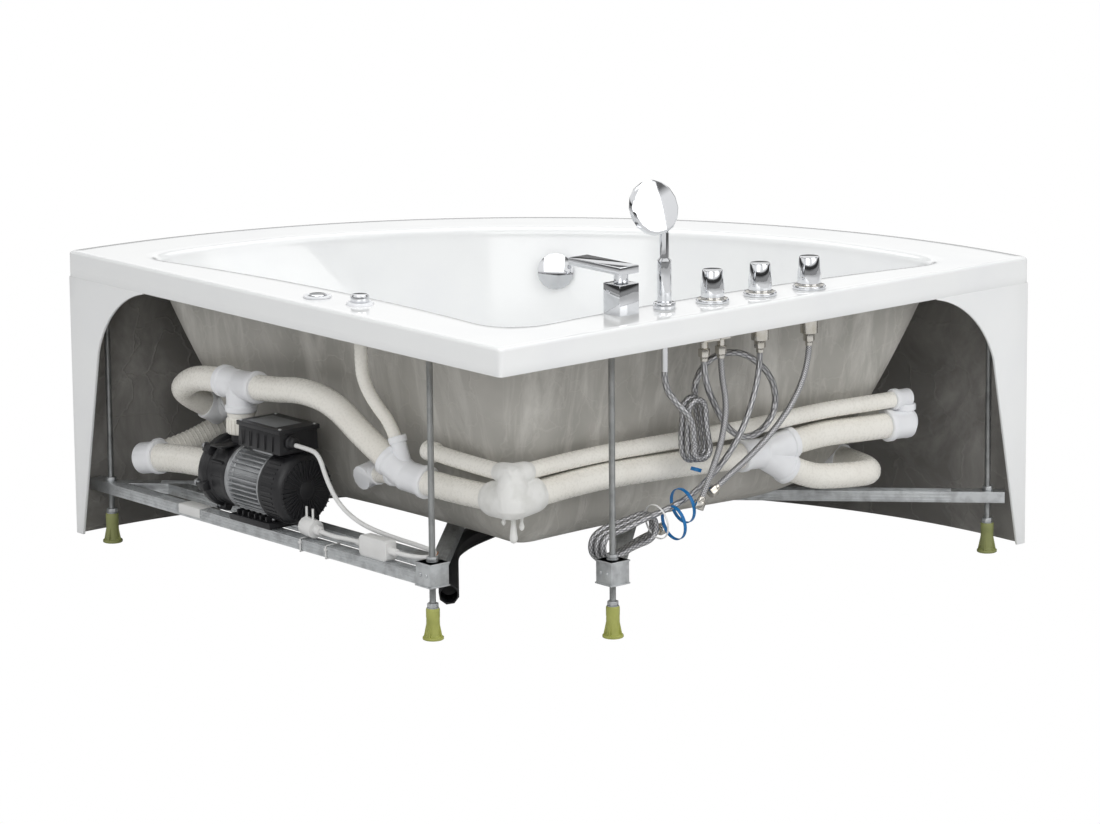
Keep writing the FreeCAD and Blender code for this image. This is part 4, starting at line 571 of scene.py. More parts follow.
def dressed(node, material, slot, body="tub", ease=0.5, crease=35):
    """The frame's own form of a sub-part, its seams joined, its edges eased and its finish put on."""
    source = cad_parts[node]
    mesh = source.data.copy()
    mesh.transform(source.matrix_world)
    work = bmesh.new()
    work.from_mesh(mesh)
    bmesh.ops.remove_doubles(work, verts=work.verts, dist=0.00002)
    bmesh.ops.dissolve_limit(work, angle_limit=math.radians(0.5), verts=work.verts, edges=work.edges)
    work.to_mesh(mesh)
    work.free()
    mesh.materials.clear()
    mesh.materials.append(material)
    for polygon in mesh.polygons:
        polygon.material_index = 0
    shape = bpy.data.objects.new(f"visible_{node}", mesh)
    bpy.context.collection.objects.link(shape)
    return finished(shape, slot, body=body, stands_for=(node,), ease=ease, crease=crease)


def centre_line(route, resolution=10):
    """The smooth line of a pipe through a few chosen places, as points in order."""
    curve = bpy.data.curves.new("route", "CURVE")
    curve.dimensions = "3D"
    line = curve.splines.new("NURBS")
    line.points.add(len(route) - 1)
    for point, place in zip(line.points, route):
        point.co = (*place, 1)
    line.order_u = 3
    line.use_endpoint_u = True
    line.resolution_u = resolution
    holder = bpy.data.objects.new("route", curve)
    bpy.context.collection.objects.link(holder)
    bpy.context.view_layer.update()
    mesh = bpy.data.meshes.new_from_object(holder.evaluated_get(bpy.context.evaluated_depsgraph_get()))
    points = [vertex.co.copy() for vertex in mesh.vertices]
    bpy.data.objects.remove(holder)
    bpy.data.curves.remove(curve)
    bpy.data.meshes.remove(mesh)
    return points


corner_line = centre_line(spots([(0, 0, 0), (90, 0, 0), (90, 90, 0)]))
print("a route of three places becomes", len(corner_line), "points")

# %% [markdown]
# Things that repeat, such as bolts on a flange or ribs round a nut, are set out by one Geometry Nodes
# tree: copies of a small piece on a ring, each turned outwards. The copies become plain mesh at once.

# %% Copies on a ring
def ring_tree():
    tree = bpy.data.node_groups.new("copies_on_a_ring", "GeometryNodeTree")
    socket(tree, "Geometry", "NodeSocketGeometry", way="OUTPUT")
    socket(tree, "Piece", "NodeSocketObject")
    socket(tree, "Count", "NodeSocketInt", 6)
    socket(tree, "Radius", "NodeSocketFloat", 0.05)
    socket(tree, "Material", "NodeSocketMaterial")
    given = node(tree, "NodeGroupInput").outputs
    ring = node(tree, "GeometryNodeMeshCircle", {"Vertices": given["Count"], "Radius": given["Radius"]})
    copied = node(tree, "GeometryNodeObjectInfo", {"Object": given["Piece"]})
    where = node(tree, "GeometryNodeInputPosition")
    aim = node(tree, "FunctionNodeAlignRotationToVector", {"Vector": where.outputs["Position"]}, axis="X",
               pivot_axis="Z")
    spread = node(tree, "GeometryNodeInstanceOnPoints", {
        "Points": ring.outputs["Mesh"], "Instance": copied.outputs["Geometry"],
        "Rotation": aim.outputs["Rotation"]})
    real = node(tree, "GeometryNodeRealizeInstances", {"Geometry": spread.outputs["Instances"]})
    painted = node(tree, "GeometryNodeSetMaterial", {"Geometry": real.outputs["Geometry"],
                                                     "Material": given["Material"]})
    node(tree, "NodeGroupOutput", {"Geometry": painted.outputs["Geometry"]})
    return tree


RING_TREE = ring_tree()


def give(modifier, values):
    """Set a modifier's named inputs."""
    for item in modifier.node_group.interface.items_tree:
        if item.item_type == "SOCKET" and item.in_out == "INPUT" and item.name in values:
            modifier[item.identifier] = values[item.name]


def ring_of(name, form, count, radius, base, way, material, slot, body="tub", stands_for=(), crease=38):
    """Copies of a small piece on a ring about an axis."""
    mesh = bpy.data.meshes.new(f"{name}_one")
    mesh.from_pydata(form.corners, [], form.faces)
    outwards(mesh)
    one = bpy.data.objects.new(f"{name}_one", mesh)
    bpy.context.collection.objects.link(one)
    shape = bpy.data.objects.new(name, bpy.data.meshes.new(name))
    bpy.context.collection.objects.link(shape)
    copies = shape.modifiers.new("copies", "NODES")
    copies.node_group = RING_TREE
    give(copies, {"Piece": one, "Count": count, "Radius": radius * MM, "Material": material})
    settle(shape)
    bpy.data.objects.remove(one)
    turn = way.to_track_quat("Z", "Y")
    shape.data.transform(Matrix.Translation(base) @ turn.to_matrix().to_4x4())
    print(name, "has", len(shape.data.polygons), "faces")
    return finished(shape, slot, body=body, stands_for=stands_for, crease=crease)


print("the ring tree has", len(RING_TREE.nodes), "nodes")

# %% [markdown]
# The moulded tub is the heart of the object. An acrylic sheet is drawn over a mould and backed with
# glass fibre: long bulging sides, a curved front, two reclined ends and a floor, all flowing into one
# another. Its surface is found with a field: how deep a point lies inside every wall at once, with
# the meeting of two walls rounded. Rays from above the basin's middle find where the field is zero, so
# one closed grid covers basin, rolled rim, deck, lip and the fibre underneath.

# %% The basin's field
SIDE = 2 * HALF_SIDE
CORNER = 7
FRONT_START = 60
RIM = 595
FLOOR = 155
FLOOR_BEND = 52
LEAN = 85 / 440
STEEP = math.radians(61)
MIDDLE = (560, 560)


def recline(up, grow):
    """How far a reclined end stands from its far wall's corner, at each level."""
    radius = 220 + grow
    stop_up = FLOOR + 220 - radius * math.cos(STEEP)
    line_along = 1199.34 + grow * math.sin(STEEP)
    line_up = 545 - grow * math.cos(STEEP)
    stop = line_along - (line_up - stop_up) / math.tan(STEEP)
    flat_end = stop - radius * math.sin(STEEP)
    curve = flat_end + np.sqrt(np.clip(radius ** 2 - (FLOOR + 220 - up) ** 2, 0, None))
    return np.where(up > stop_up, stop + (up - stop_up) / math.tan(STEEP), curve)


def rounded(first, second, radius):
    """Depth inside two walls at once, their meeting rounded."""
    short = np.hypot(np.clip(radius - first, 0, None), np.clip(radius - second, 0, None))
    return np.where((first > radius) | (second > radius), np.minimum(first, second), radius - short)


def basin_depth(along, out, up, grow):
    drop = RIM - up
    front = 1110 + grow - LEAN * drop - np.hypot(along - 99, out - 99)
    pump_side = np.hypot(along - 500, out + 2860) - (3000 - grow + LEAN * drop)
    tap_side = np.hypot(along + 2860, out - 500) - (3000 - grow + LEAN * drop)
    sides = rounded(pump_side, tap_side, 110 - LEAN * 0.5 * drop + grow)
    walls = rounded(sides, front, 100 + grow)
    ends = rounded(recline(up, grow) - along, recline(up, grow) - out, 60)
    walls = rounded(walls, ends, 70 + grow)
    return rounded(walls, up - (FLOOR - grow), FLOOR_BEND + grow)


def outline_depth(along, out, inset):
    """Depth inside the tub's outline, seen from above."""
    near_along, near_out = along - inset, out - inset
    far_along, far_out = SIDE - inset - along, SIDE - inset - out
    walls = rounded(near_along, near_out, CORNER)
    ends = rounded(rounded(near_along, far_out, CORNER), rounded(near_out, far_along, CORNER), CORNER)
    front = SIDE - FRONT_START - inset - np.hypot(np.clip(along - FRONT_START, 0, None),
                                                  np.clip(out - FRONT_START, 0, None))
    return np.minimum(np.minimum(walls, ends), front)


def reach(depth, aim_along, aim_out, aim_up=0.0, start_up=RIM, far=1400.0):
    """Distance along each ray from the middle at which a depth falls to nothing."""
    low = np.zeros_like(aim_along)
    high = np.full_like(aim_along, far)
    for _ in range(44):
        half = (low + high) / 2
        inside = depth(MIDDLE[0] + aim_along * half, MIDDLE[1] + aim_out * half, start_up + aim_up * half) > 0
        low = np.where(inside, half, low)
        high = np.where(inside, high, half)
    return low


corners = [math.atan2(out - MIDDLE[1], along - MIDDLE[0]) for along, out in ((0, 0), (SIDE, 0), (0, SIDE))]
CLOSE = (-0.9, -0.6, -0.35, -0.15, 0, 0.15, 0.35, 0.6, 0.9)
nearby = [corner + math.radians(step) for corner in corners for step in CLOSE]
regular = [2 * math.pi * index / 320 - math.pi for index in range(320)]
regular = [angle for angle in regular if all(abs(angle - corner) > 0.02 for corner in corners)]
ANGLES = np.array(sorted(regular + nearby))
print("grid columns:", len(ANGLES), "- basin reaches", round(float(reach(
    lambda a, b, u: basin_depth(a, b, u, 0), np.array([1.0]), np.array([0.0]))[0])), "mm towards the far end")

# %% [markdown]
# Each column of the grid runs from the floor's middle, up the wall, over the rolled rim, across the
# deck, down the lip, back under the deck and down the fibre outside. Points are closer together where
# the surface turns.

# %% The moulded tub
def wall_rings(grow, top, steps, turn_steps, floor_steps):
    """Rings of a basin surface from its top edge to the middle of its floor."""
    cos, sin = np.cos(ANGLES), np.sin(ANGLES)
    bottom, bend_up = FLOOR - grow, FLOOR_BEND
    upper = reach(lambda a, b, u: basin_depth(a, b, np.full_like(a, top), grow), cos, sin)
    lower = reach(lambda a, b, u: basin_depth(a, b, np.full_like(a, bottom + bend_up), grow), cos, sin)
    edge = reach(lambda a, b, u: basin_depth(a, b, np.full_like(a, bottom + 0.6), grow), cos, sin)
    targets = []
    for share in np.linspace(0, 1, steps):
        targets.append((upper + (lower - upper) * share, level(top + (bottom + bend_up - top) * share)))
    for share in np.linspace(0, 1, turn_steps + 1)[1:]:
        swing = share * math.pi / 2
        up = bottom + bend_up * (1 - math.sin(swing))
        targets.append((edge + (lower - edge) * math.cos(swing), level(up)))
    rings = []
    for radius, up in targets:
        length = np.hypot(radius, up - RIM)
        found = reach(lambda a, b, u: basin_depth(a, b, u, grow), cos * radius / length,
                      sin * radius / length, (up - RIM) / length)
        scale = found / length
        rings.append((radius * scale, RIM + (up - RIM) * scale))
    for share in np.linspace(1, 0, floor_steps)[1:-1]:
        rings.append((rings[steps + turn_steps - 1][0] * share, np.full_like(cos, float(bottom))))
    return rings


def outline(inset):
    return reach(lambda a, b, u: outline_depth(a, b, inset), np.cos(ANGLES), np.sin(ANGLES))


def level(up):
    return np.full_like(ANGLES, float(up))


ROLL = 14
inner = wall_rings(0, RIM - ROLL, 30, 12, 9)
outer = wall_rings(9, RIM - 6, 30, 12, 9)
rim_reach = reach(lambda a, b, u: basin_depth(a, b, level(RIM), 0), np.cos(ANGLES), np.sin(ANGLES)) + 12
rings = list(reversed(inner))
top_reach = inner[0][0]
for share in np.linspace(0, 1, 8)[1:]:
    swing = share * math.pi / 2
    rings.append((top_reach + (rim_reach - top_reach) * (1 - math.cos(swing)),
                  level(RIM - ROLL + ROLL * math.sin(swing))))
deck_edge = outline(CORNER)
for share in np.linspace(0, 1, 9)[1:]:
    rings.append((rim_reach + (deck_edge - rim_reach) * share, level(RIM)))
for share in np.linspace(0, 1, 7)[1:]:
    swing = share * math.pi / 2
    rings.append((outline(CORNER * (1 - math.sin(swing))), level(RIM - CORNER + CORNER * math.cos(swing))))
for inset, up in ((0, 575), (0, 560), (0, 543.2), (1.2, 542), (4.8, 542), (6, 543.2)):
    rings.append((outline(inset), level(up)))
white_rings = len(rings)
under_edge = outline(6.0)
for share in (1.0, 0.85, 0.7, 0.5, 0.3, 0.15):
    rings.append((outer[0][0] + (under_edge - outer[0][0]) * share, level(RIM - 6)))
rings += outer
places = []
for radius, up in rings:
    places.append([spot(float(a), float(b), float(u)) for a, b, u in
                   zip(MIDDLE[0] + np.cos(ANGLES) * radius, MIDDLE[1] + np.sin(ANGLES) * radius, up)])
tub = Form()
tub.rings(places)
columns = len(ANGLES)
tub.kinds = [0 if index // columns < white_rings - 1 else 1 for index in range(len(tub.faces))]
tub.kinds[-2] = 0
piece("moulded_tub", tub, [acrylic, fibre_basin], "shell_acrylic", stands_for=("tub_shell",), crease=50)
print("tub grid:", len(tub.faces), "faces")

# %% [markdown]
# The skirt closes the curved front and turns in a little at both ends, where an arch leaves room to
# reach the pump. It is white acrylic outside; inside, the fibre was brushed on dark and rough. A ring
# with the tub's outline is cut by one arch from each wall.

# %% The skirt
def skirt_outline(inset):
    side, centre = SIDE - inset, FRONT_START
    radius = side - centre
    route = [(inset, inset), (side, inset), (side, centre)]
    for step in range(1, 96):
        angle = math.pi / 2 * step / 96
        route.append((centre + radius * math.cos(angle), centre + radius * math.sin(angle)))
    return route + [(centre, side), (inset, side)]


def three_point_arc(first, through, last, steps):
    """Points of the circle through three places in a plane."""
    (ax, ay), (bx, by), (cx, cy) = first, through, last
    d = 2 * (ax * (by - cy) + bx * (cy - ay) + cx * (ay - by))
    far_a, far_b, far_c = ax ** 2 + ay ** 2, bx ** 2 + by ** 2, cx ** 2 + cy ** 2
    ux = (far_a * (by - cy) + far_b * (cy - ay) + far_c * (ay - by)) / d
    uy = (far_a * (cx - bx) + far_b * (ax - cx) + far_c * (bx - ax)) / d
    start, end = (math.atan2(y - uy, x - ux) for x, y in (first, last))
    radius = math.hypot(ax - ux, ay - uy)
    if end - start > math.pi:
        end -= 2 * math.pi
    if start - end > math.pi:
        end += 2 * math.pi
    return [(ux + radius * math.cos(start + (end - start) * step / steps),
             uy + radius * math.sin(start + (end - start) * step / steps)) for step in range(steps + 1)]


skirt_low, skirt_high = 15, 543
wall_ring = Form()
for inset in (0, 6):
    wall_ring.rings([[spot(a, b, up) for a, b in skirt_outline(inset)] for up in (skirt_low, skirt_high)],
                    caps=False)
count = len(skirt_outline(0))
for shift, flip in ((0, True), (count, False)):
    faces = []
    for index in range(count):
        after = (index + 1) % count
        face = (index + shift, after + shift, after + shift + 2 * count, index + shift + 2 * count)
        faces.append(tuple(reversed(face)) if flip else face)
    wall_ring.faces += faces
    wall_ring.kinds += [0] * count
slope = (92 - 22) / (400 - 15)
arch = [(-30, -5), (SIDE - 22 + slope * 20, -5)] + three_point_arc((1258, 400), (1208, 482), (1100, 540), 28)
arch += [(1100, 560), (-30, 560)]
cutters = []
for wall in ("pump", "tap"):
    cutter = Form()
    cutter.rings([[spot(x, depth, up) if wall == "pump" else spot(depth, x, up) for x, up in arch]
                  for depth in (-9, 14)])
    mesh = bpy.data.meshes.new(f"arch_{wall}")
    mesh.from_pydata(cutter.corners, [], cutter.faces)
    outwards(mesh)
    cutters.append(bpy.data.objects.new(f"arch_{wall}", mesh))
    bpy.context.collection.objects.link(cutters[-1])
skirt_mesh = bpy.data.meshes.new("skirt")
skirt_mesh.from_pydata(wall_ring.corners, [], wall_ring.faces)
outwards(skirt_mesh)
skirt = bpy.data.objects.new("curved_skirt", skirt_mesh)
bpy.context.collection.objects.link(skirt)
for cutter in cutters:
    cut = skirt.modifiers.new(cutter.name, "BOOLEAN")
    cut.operation = "DIFFERENCE"
    cut.solver = "EXACT"
    cut.object = cutter
settle(skirt)
for cutter in cutters:
    bpy.data.objects.remove(cutter)
skirt.data.materials.append(acrylic)
skirt.data.materials.append(fibre_skirt)
middle = spot(99, 99, 0)
for polygon in skirt.data.polygons:
    outward = Vector((polygon.center.x - middle.x, polygon.center.y - middle.y, 0)).normalized()
    facing = polygon.normal.dot(outward)
    at_end = max(abs(polygon.center.x), abs(polygon.center.y)) > 0.6705
    polygon.material_index = 1 if facing < -0.4 and not at_end else 0
finished(skirt, "shell_acrylic", stands_for=("apron_skirt",), ease=1.2, crease=30)
print("skirt:", len(skirt.data.polygons), "faces")

# %% [markdown]
# The under-frame is galvanised steel: threaded rods that screw into wooden blocks under the deck, box
# rails with ribs rolled into them, square sleeves on the corner legs, and plastic feet that turn on
# the rods to level the tub. The thread is too fine to model, so a wave in the finish draws it.

# %% Legs, nuts and feet
def thread_finish():
    material = finish("rolled_thread", (0.42, 0.43, 0.43), (0.28, 0.29, 0.29), 0.3, 0.45, metal=0.9, patch=30)
    tree = material.node_tree
    place = node(tree, "ShaderNodeTexCoord").outputs["Object"]
    wave = node(tree, "ShaderNodeTexWave", {"Scale": 180, "Vector": place}, bands_direction="Z")
    bump = node(tree, "ShaderNodeBump", {"Strength": 0.8, "Distance": 0.001, "Height": wave.outputs["Fac"]})
    join(tree, bump.outputs["Normal"], tree.nodes["Principled BSDF"].inputs["Normal"])
    return material


thread = thread_finish()
LEGS = {"pump_corner": (258, 45), "tap_corner": (45, 303), "pump_end": (1288, 45), "tap_end": (45, 1288)}
CORNER_NUT_UP, END_NUT_UP, LOCK_NUT_UP = 149, 125, 60
rods, nuts = Form(), Form()
for leg, (along, out) in LEGS.items():
    rods.turned([(0, 18), (5.2, 18), (6, 19.5), (6, 577), (0, 577)], spot(along, out, 0), UP, 20)
    for up in (CORNER_NUT_UP if "corner" in leg else END_NUT_UP, LOCK_NUT_UP):
        nuts.turned([(6.1, 0), (11.5, 0), (11.5, 1.4), (6.1, 1.4)], spot(along, out, up), UP, 28)
        nuts.hexagon(spot(along, out, up + 1.4), UP, 19, 8.6)
piece("threaded_rods", rods, [thread], "zinc", stands_for=("leg_rods",))
piece("leg_nuts_and_washers", nuts, [zinc], "zinc", stands_for=("leg_nuts",), ease=0.4)
for leg, (along, out) in LEGS.items():
    foot = Form()
    foot.turned([(0, 0), (19, 0), (20, 1), (20, 4.5), (19, 5.5), (14, 6.5), (13.2, 10), (12.6, 40), (13, 43),
                 (13, 58), (12, 60), (7.5, 60), (0, 60)], spot(along, out, 0), UP, 36)
    for turn in range(4):
        way = Vector((math.cos(math.pi / 2 * turn + 0.5), math.sin(math.pi / 2 * turn + 0.5), 0))
        side = UP.cross(way)
        low, high = spot(along, out, 5), spot(along, out, 34)
        fin = [low + way * 0.0125 + side * 0.001, low + way * 0.0188 + side * 0.001,
               high + way * 0.0125 + side * 0.001]
        back = [corner - side * 0.002 for corner in fin]
        foot.add(fin + back, [(0, 1, 2), (5, 4, 3), (0, 3, 4, 1), (1, 4, 5, 2), (2, 5, 3, 0)])
    colour = foot_yellow if "corner" in leg else foot_olive
    piece(f"levelling_foot_{leg}", foot, [colour], "foot_plastic", body=f"foot_{leg}",
          stands_for=(f"foot_{leg}",), ease=0.5)
dressed("deck_blocks", timber, "timber", ease=1.2)
print("legs:", ", ".join(LEGS))

# %% Rails
for name in ("rail_outer", "rail_inner", "rail_chord", "rail_diagonals", "leg_brackets"):
    dressed(name, zinc, "zinc", ease=0.9)
ribs = Form()
RAIL_UP = 114


def rail_ribs(start, end):
    """Lengthwise ribs rolled into a rail's two sides and its top."""
    run = spot(*end, RAIL_UP) - spot(*start, RAIL_UP)
    way = run.normalized()
    side = UP.cross(way)
    centre = spot(*start, RAIL_UP) + run / 2
    ways = (way, side, UP)
    for shift in (-6, 0, 6):
        for hand in (-1, 1):
            ribs.block(centre + side * hand * 15.3 * MM + UP * shift * MM, (run.length / MM, 1.4, 2.4), ways)
    for shift in (-9, -3, 3, 9):
        ribs.block(centre + UP * 11.3 * MM + side * shift * MM, (run.length / MM, 2.6, 1.2), ways)


for start, end in (((1262, 45), (286, 45)), ((1150, 133), (420, 133)), ((1216, 117), (96, 1237)),
                   ((330, 117), (640, 427)), ((100, 358), (560, 818))):
    rail_ribs(start, end)
rail_rib_piece = piece("rail_ribs", ribs, [zinc], "zinc", ease=0.3)
collars = Form()
for along, out in ((258, 45), (45, 303)):
    for up in (104.5, 147.5):
        collars.block(spot(along, out, up), (47, 47, 3))
    for hand in (-1, 1):
        collars.turned([(0, 0), (4.5, 0), (4, 2), (0, 2.6)], spot(along + 9 * hand, out - 22, 126), -OUT, 14)
piece("leg_sleeve_edges", collars, [zinc], "zinc", ease=0.5)
print("ribs:", len(rail_rib_piece.data.polygons), "faces")

# %% [markdown]
# The pump is a stock motor pump: a black wet end with clamping lugs and bolts, a finned aluminium
# motor, a black fan cover, and a terminal box on top. Turned forms make the round castings. The bolts,
# the ribs and the bars across the fan cover's end are copies on a ring. Several of these forms stand a
# few millimetres proud of the solids they stand for.

# %% Pump
PUMP_OUT, PUMP_UP = 80, 205


def on_pump_axis(along):
    return spot(along, PUMP_OUT, PUMP_UP)


axis = on_pump_axis(860)
LUG_TURN = 0.3
wet_end = Form()
wet_end.turned([(0, 0), (63, 0), (66, 3), (66, 14), (63, 17), (63, 48), (66, 52), (66, 60), (73, 63),
                (73, 78), (62, 78.5), (40, 78.5), (38, 84), (0, 84)], axis, ALONG, 72)
wet_end.turned([(0, 0), (23, 0), (23, 10), (20.5, 12), (20.5, 34), (0, 34)], spot(890, 80, 252), UP, 40)
for turn in range(3):
    wet_end.block(axis + ALONG * 0.03 + UP * (0.0615 - 0.03 * turn), (36, 127, 3))
for turn in range(6):
    angle = math.pi / 3 * turn + LUG_TURN
    way = OUT * math.cos(angle) + UP * math.sin(angle)
    side = ALONG.cross(way)
    wet_end.block(axis + ALONG * 0.0665 + way * 0.071, (25, 20, 17), (ALONG, side, way), taper=0.75)
wet = piece("pump_wet_end", wet_end, [black_plastic], "black_plastic", stands_for=("pump_volute",), ease=0.8)
bolts = Form()
bolts.hexagon(Vector((0, 0, 0)), UP, 11, 8)
bolts.turned([(0, -6), (4, -6), (4, 0), (7.5, 0), (7.5, 1.2), (0, 1.2)], Vector((0, 0, -0.0012)), UP, 20)
lug_bolts = ring_of("pump_lug_bolts", bolts, 6, 73, axis + ALONG * 0.0795, ALONG, thread_steel, "zinc")
to_lugs = Matrix.Rotation(LUG_TURN - math.pi / 2, 4, ALONG)
lug_bolts.data.transform(Matrix.Translation(axis) @ to_lugs @ Matrix.Translation(-axis))
motor = Form()
back = on_pump_axis(742)
motor.turned([(0, 2), (56, 2), (66, 3), (68, 5), (68, 14), (60, 16), (58, 17), (58, 104), (61, 106),
              (67, 108), (67, 118), (0, 118)], back, ALONG, 72)
FINS = 40
for turn in range(FINS):
    angle = 2 * math.pi * turn / FINS
    way = OUT * math.cos(angle) + UP * math.sin(angle)
    side = ALONG.cross(way)
    motor.block(back + ALONG * 0.0605 + way * 0.0615, (90, 2.6, 13), (ALONG, side, way))
motor.block(spot(785, 80, 268), (64, 58, 30))
motor_shape = piece("finned_motor", motor, [motor_alloy], "motor_alloy", stands_for=("pump_motor",), ease=0.5)
cover = Form()
cover.turned([(0, 6), (30, 5), (50, 4), (60, 7), (67, 14), (70, 24), (70, 60), (71, 62), (71, 68), (0, 68)],
             on_pump_axis(680), ALONG, 72)
cover.turned([(0, 3.2), (16, 3.2), (18, 6), (0, 8)], on_pump_axis(680), ALONG, 36)
for radius in (27, 37, 47, 56):
    face = 2.8 + radius / 30
    cover.turned([(radius, face), (radius + 2.4, face), (radius + 2.4, 9), (radius, 9)], on_pump_axis(680),
                 ALONG, 60)
fan_cover = piece("fan_cover", cover, [black_plastic], "black_plastic", stands_for=("pump_fan_cover",),
                  ease=0.6)
bar_form = Form()
OWN_WAYS = (Vector((1, 0, 0)), Vector((0, 1, 0)), UP)
bar_form.block(Vector((0, 0, 0)), (40, 2.2, 3), OWN_WAYS)
ring_of("fan_cover_bars", bar_form, 36, 40, on_pump_axis(683.5), ALONG, black_plastic, "black_plastic")
groove = Form()
groove.block(Vector((0, 0, 0)), (2.4, 3.4, 34), OWN_WAYS)
ring_of("fan_cover_ribs", groove, 44, 70, on_pump_axis(722), ALONG, black_plastic, "black_plastic")
dressed("pump_rotor", zinc, "zinc", body="pump_rotor", ease=0.3)
print("pump:", wet.name, motor_shape.name, fan_cover.name)

# %% Terminal box, foot and unions
box_form = Form()
box_centre = spot(772, 80, 301)
box_form.block(box_centre - UP * 0.004, (134, 94, 42), taper=0.97)
box_form.block(box_centre + UP * 0.0205, (138, 98, 9))
box_form.turned([(0, 0), (14, 0), (14, 5), (11, 6), (11, 15), (9.5, 18), (0, 18)], spot(705, 58, 299),
                -ALONG, 28)
for along in (-44, -20, 4, 28, 52):
    box_form.block(box_centre + ALONG * along * MM + OUT * -0.0485 - UP * 0.006, (3, 2, 30))
piece("terminal_box", box_form, [black_plastic], "black_plastic", stands_for=("pump_terminal_box",),
      ease=1.6)
plate = Form()
plate.block(box_centre + UP * 0.0254 + ALONG * 0.006 - OUT * 0.004, (92, 62, 0.8))
piece("bare_plate", plate, [grey_plate], "black_plastic", ease=0.2)
screws = Form()
FOOT_ALONG, FOOT_OUT = 801, 89
for along in (-62, 62):
    for out in (-42, 42):
        on_box = box_centre + Vector((along, out, 24.6)) * MM
        foot_along, foot_out = FOOT_ALONG + along * 0.75, FOOT_OUT + out * 0.9
        screws.turned([(0, 0), (4, 0), (3.2, 2), (0, 2.4)], on_box, UP, 16)
        screws.turned([(0, 0), (3, 0), (3, 9), (0, 9)], spot(foot_along, foot_out, 136), UP, 12)
        screws.hexagon(spot(foot_along, foot_out, 137), UP, 10, 6)
piece("pump_screws", screws, [thread_steel], "zinc", ease=0.2)
foot_form = Form()
foot_form.block(spot(FOOT_ALONG, FOOT_OUT, 131), (128, 122, 12))
foot_form.block(spot(FOOT_ALONG, 84, 146), (104, 74, 20), taper=0.85)
for along in (-46, -28, -10, 10, 28, 46):
    foot_form.block(spot(FOOT_ALONG + along, FOOT_OUT, 141), (4, 112, 12))
piece("pump_foot_casting", foot_form, [black_plastic], "black_plastic", stands_for=("pump_foot",), ease=0.8)
union_form = Form()
for start, way in ((on_pump_axis(938), ALONG), (spot(890, 80, 285), UP)):
    union_form.turned([(0, 0), (27, 0), (28, 2), (28, 30), (26, 33), (27.5, 35), (27.5, 43), (26, 45),
                       (0, 45)], start, way, 56)
piece("union_nuts", union_form, [pipe_white], "pipe_white", stands_for=("pump_unions",), ease=0.5)
union_rib = Form()
union_rib.block(Vector((0, 0, 0)), (3.4, 3.2, 26), OWN_WAYS, taper=0.8)
for name, start, way in (("suction_union_ribs", on_pump_axis(954), ALONG),
                         ("outlet_union_ribs", spot(890, 80, 301), UP)):
    ring_of(name, union_rib, 22, 28.6, start, way, pipe_white, "pipe_white")
earth_line = centre_line(spots([(786, 146, 188), (782, 158, 184), (786, 160, 170), (800, 152, 156),
                                (808, 146, 150)]), 8)
earth = Form()
earth.tube(earth_line, 0.0026, 10)
earth.turned([(0, 0), (5, 0), (5, 2), (0, 2)], earth_line[0], heading(0, 1, 0), 16)
piece("earth_wire", earth, [earth_green], "cable_white")
print("terminal box, foot and unions are on the pump")

# %% [markdown]
# The pipework is hose and rigid pipe in white plastic, glued into sockets. Each pipe is a round tube
# along a smooth line through a few corner points; the hose to the side takes an easier line than its
# solid. The fittings are turned sockets that meet and overlap at one centre. Only the corner joint is
# melted into one form: it stands for epoxy that has run and set in drips.

# %% Pipes
TEE, WYE, JOINT, JOINT_UPPER = (890, 80, 380), (437, 131, 268), (149, 149, 266), (148, 150, 315)
TAP_WYE, END, END_UPPER, ELBOW = (142, 770, 264), (100, 1112, 279), (100, 1112, 330), (1195, 66, 186)
LOUNGE_PORT, SUCTION_PORT = (1108.8, 190, 280.6), (1108.8, 330, 280.6)
END_PORT, LOW_PORT = (240, 1108.8, 280.6), (255, 1055.7, 197.6)
SIDE_PORT = (584, 157, 242)
PRESSURE = {
    "hose_to_side": ([TEE, (790, 80, 386), (700, 87, 399), (612, 98, 384), (532, 112, 322), WYE], 50),
    "hose_to_lounge": ([TEE, (975, 80, 381), (1062, 84, 366), (1124, 100, 324), LOUNGE_PORT], 50),
    "corner_pipe": ([WYE, (300, 145, 256), JOINT], 50),
    "main_pipe": ([JOINT, (150, 300, 279), (150, 480, 277), TAP_WYE], 50),
    "upper_end_pipe": ([TAP_WYE, (134, 890, 283), (114, 1000, 281), END], 50),
    "end_jet_pipe": ([END, END_PORT], 50),
    "lower_end_pipe": ([TAP_WYE, (132, 862, 205), (118, 962, 193), (106, 1058, 191), LOW_PORT], 50),
    "side_jet_pipe": ([SIDE_PORT, WYE], 32),
}
AIR = {
    "regulator_air_pipe": ([(505, 78, 527.5), (505, 78, 494), (516, 90, 448), (504, 106, 404),
                            (466, 126, 354), WYE], 25),
    "pump_air_manifold": ([(398, 152, 321), (290, 150, 315), JOINT_UPPER], 32),
    "tap_air_manifold": ([JOINT_UPPER, (151, 300, 324), (150, 520, 320), (144, 720, 318), (126, 900, 330),
                          (106, 1020, 331), END_UPPER], 32),
}
for pipes, stands_for, sides in ((PRESSURE, "pressure_pipes", 40), (AIR, "air_pipes", 32)):
    for index, (name, (route, dia)) in enumerate(pipes.items()):
        pipe = Form()
        pipe.tube(centre_line(spots(route), 10), dia * MM, sides)
        if name == "pump_air_manifold":
            pipe.turned([(0, -4), (18, -4), (19.5, -2), (19.5, 22), (17, 24), (0, 24)], spot(398, 152, 321),
                        heading(-108, -2, -6), 36)
        piece(name, pipe, [pipe_white], "pipe_white", stands_for=(stands_for,) if index == 0 else ())
suction_line = centre_line(spots([(938, 80, 205), (1100, 80, 205), ELBOW]), 10)
suction = Form()
suction.tube(suction_line, 0.056, 44)
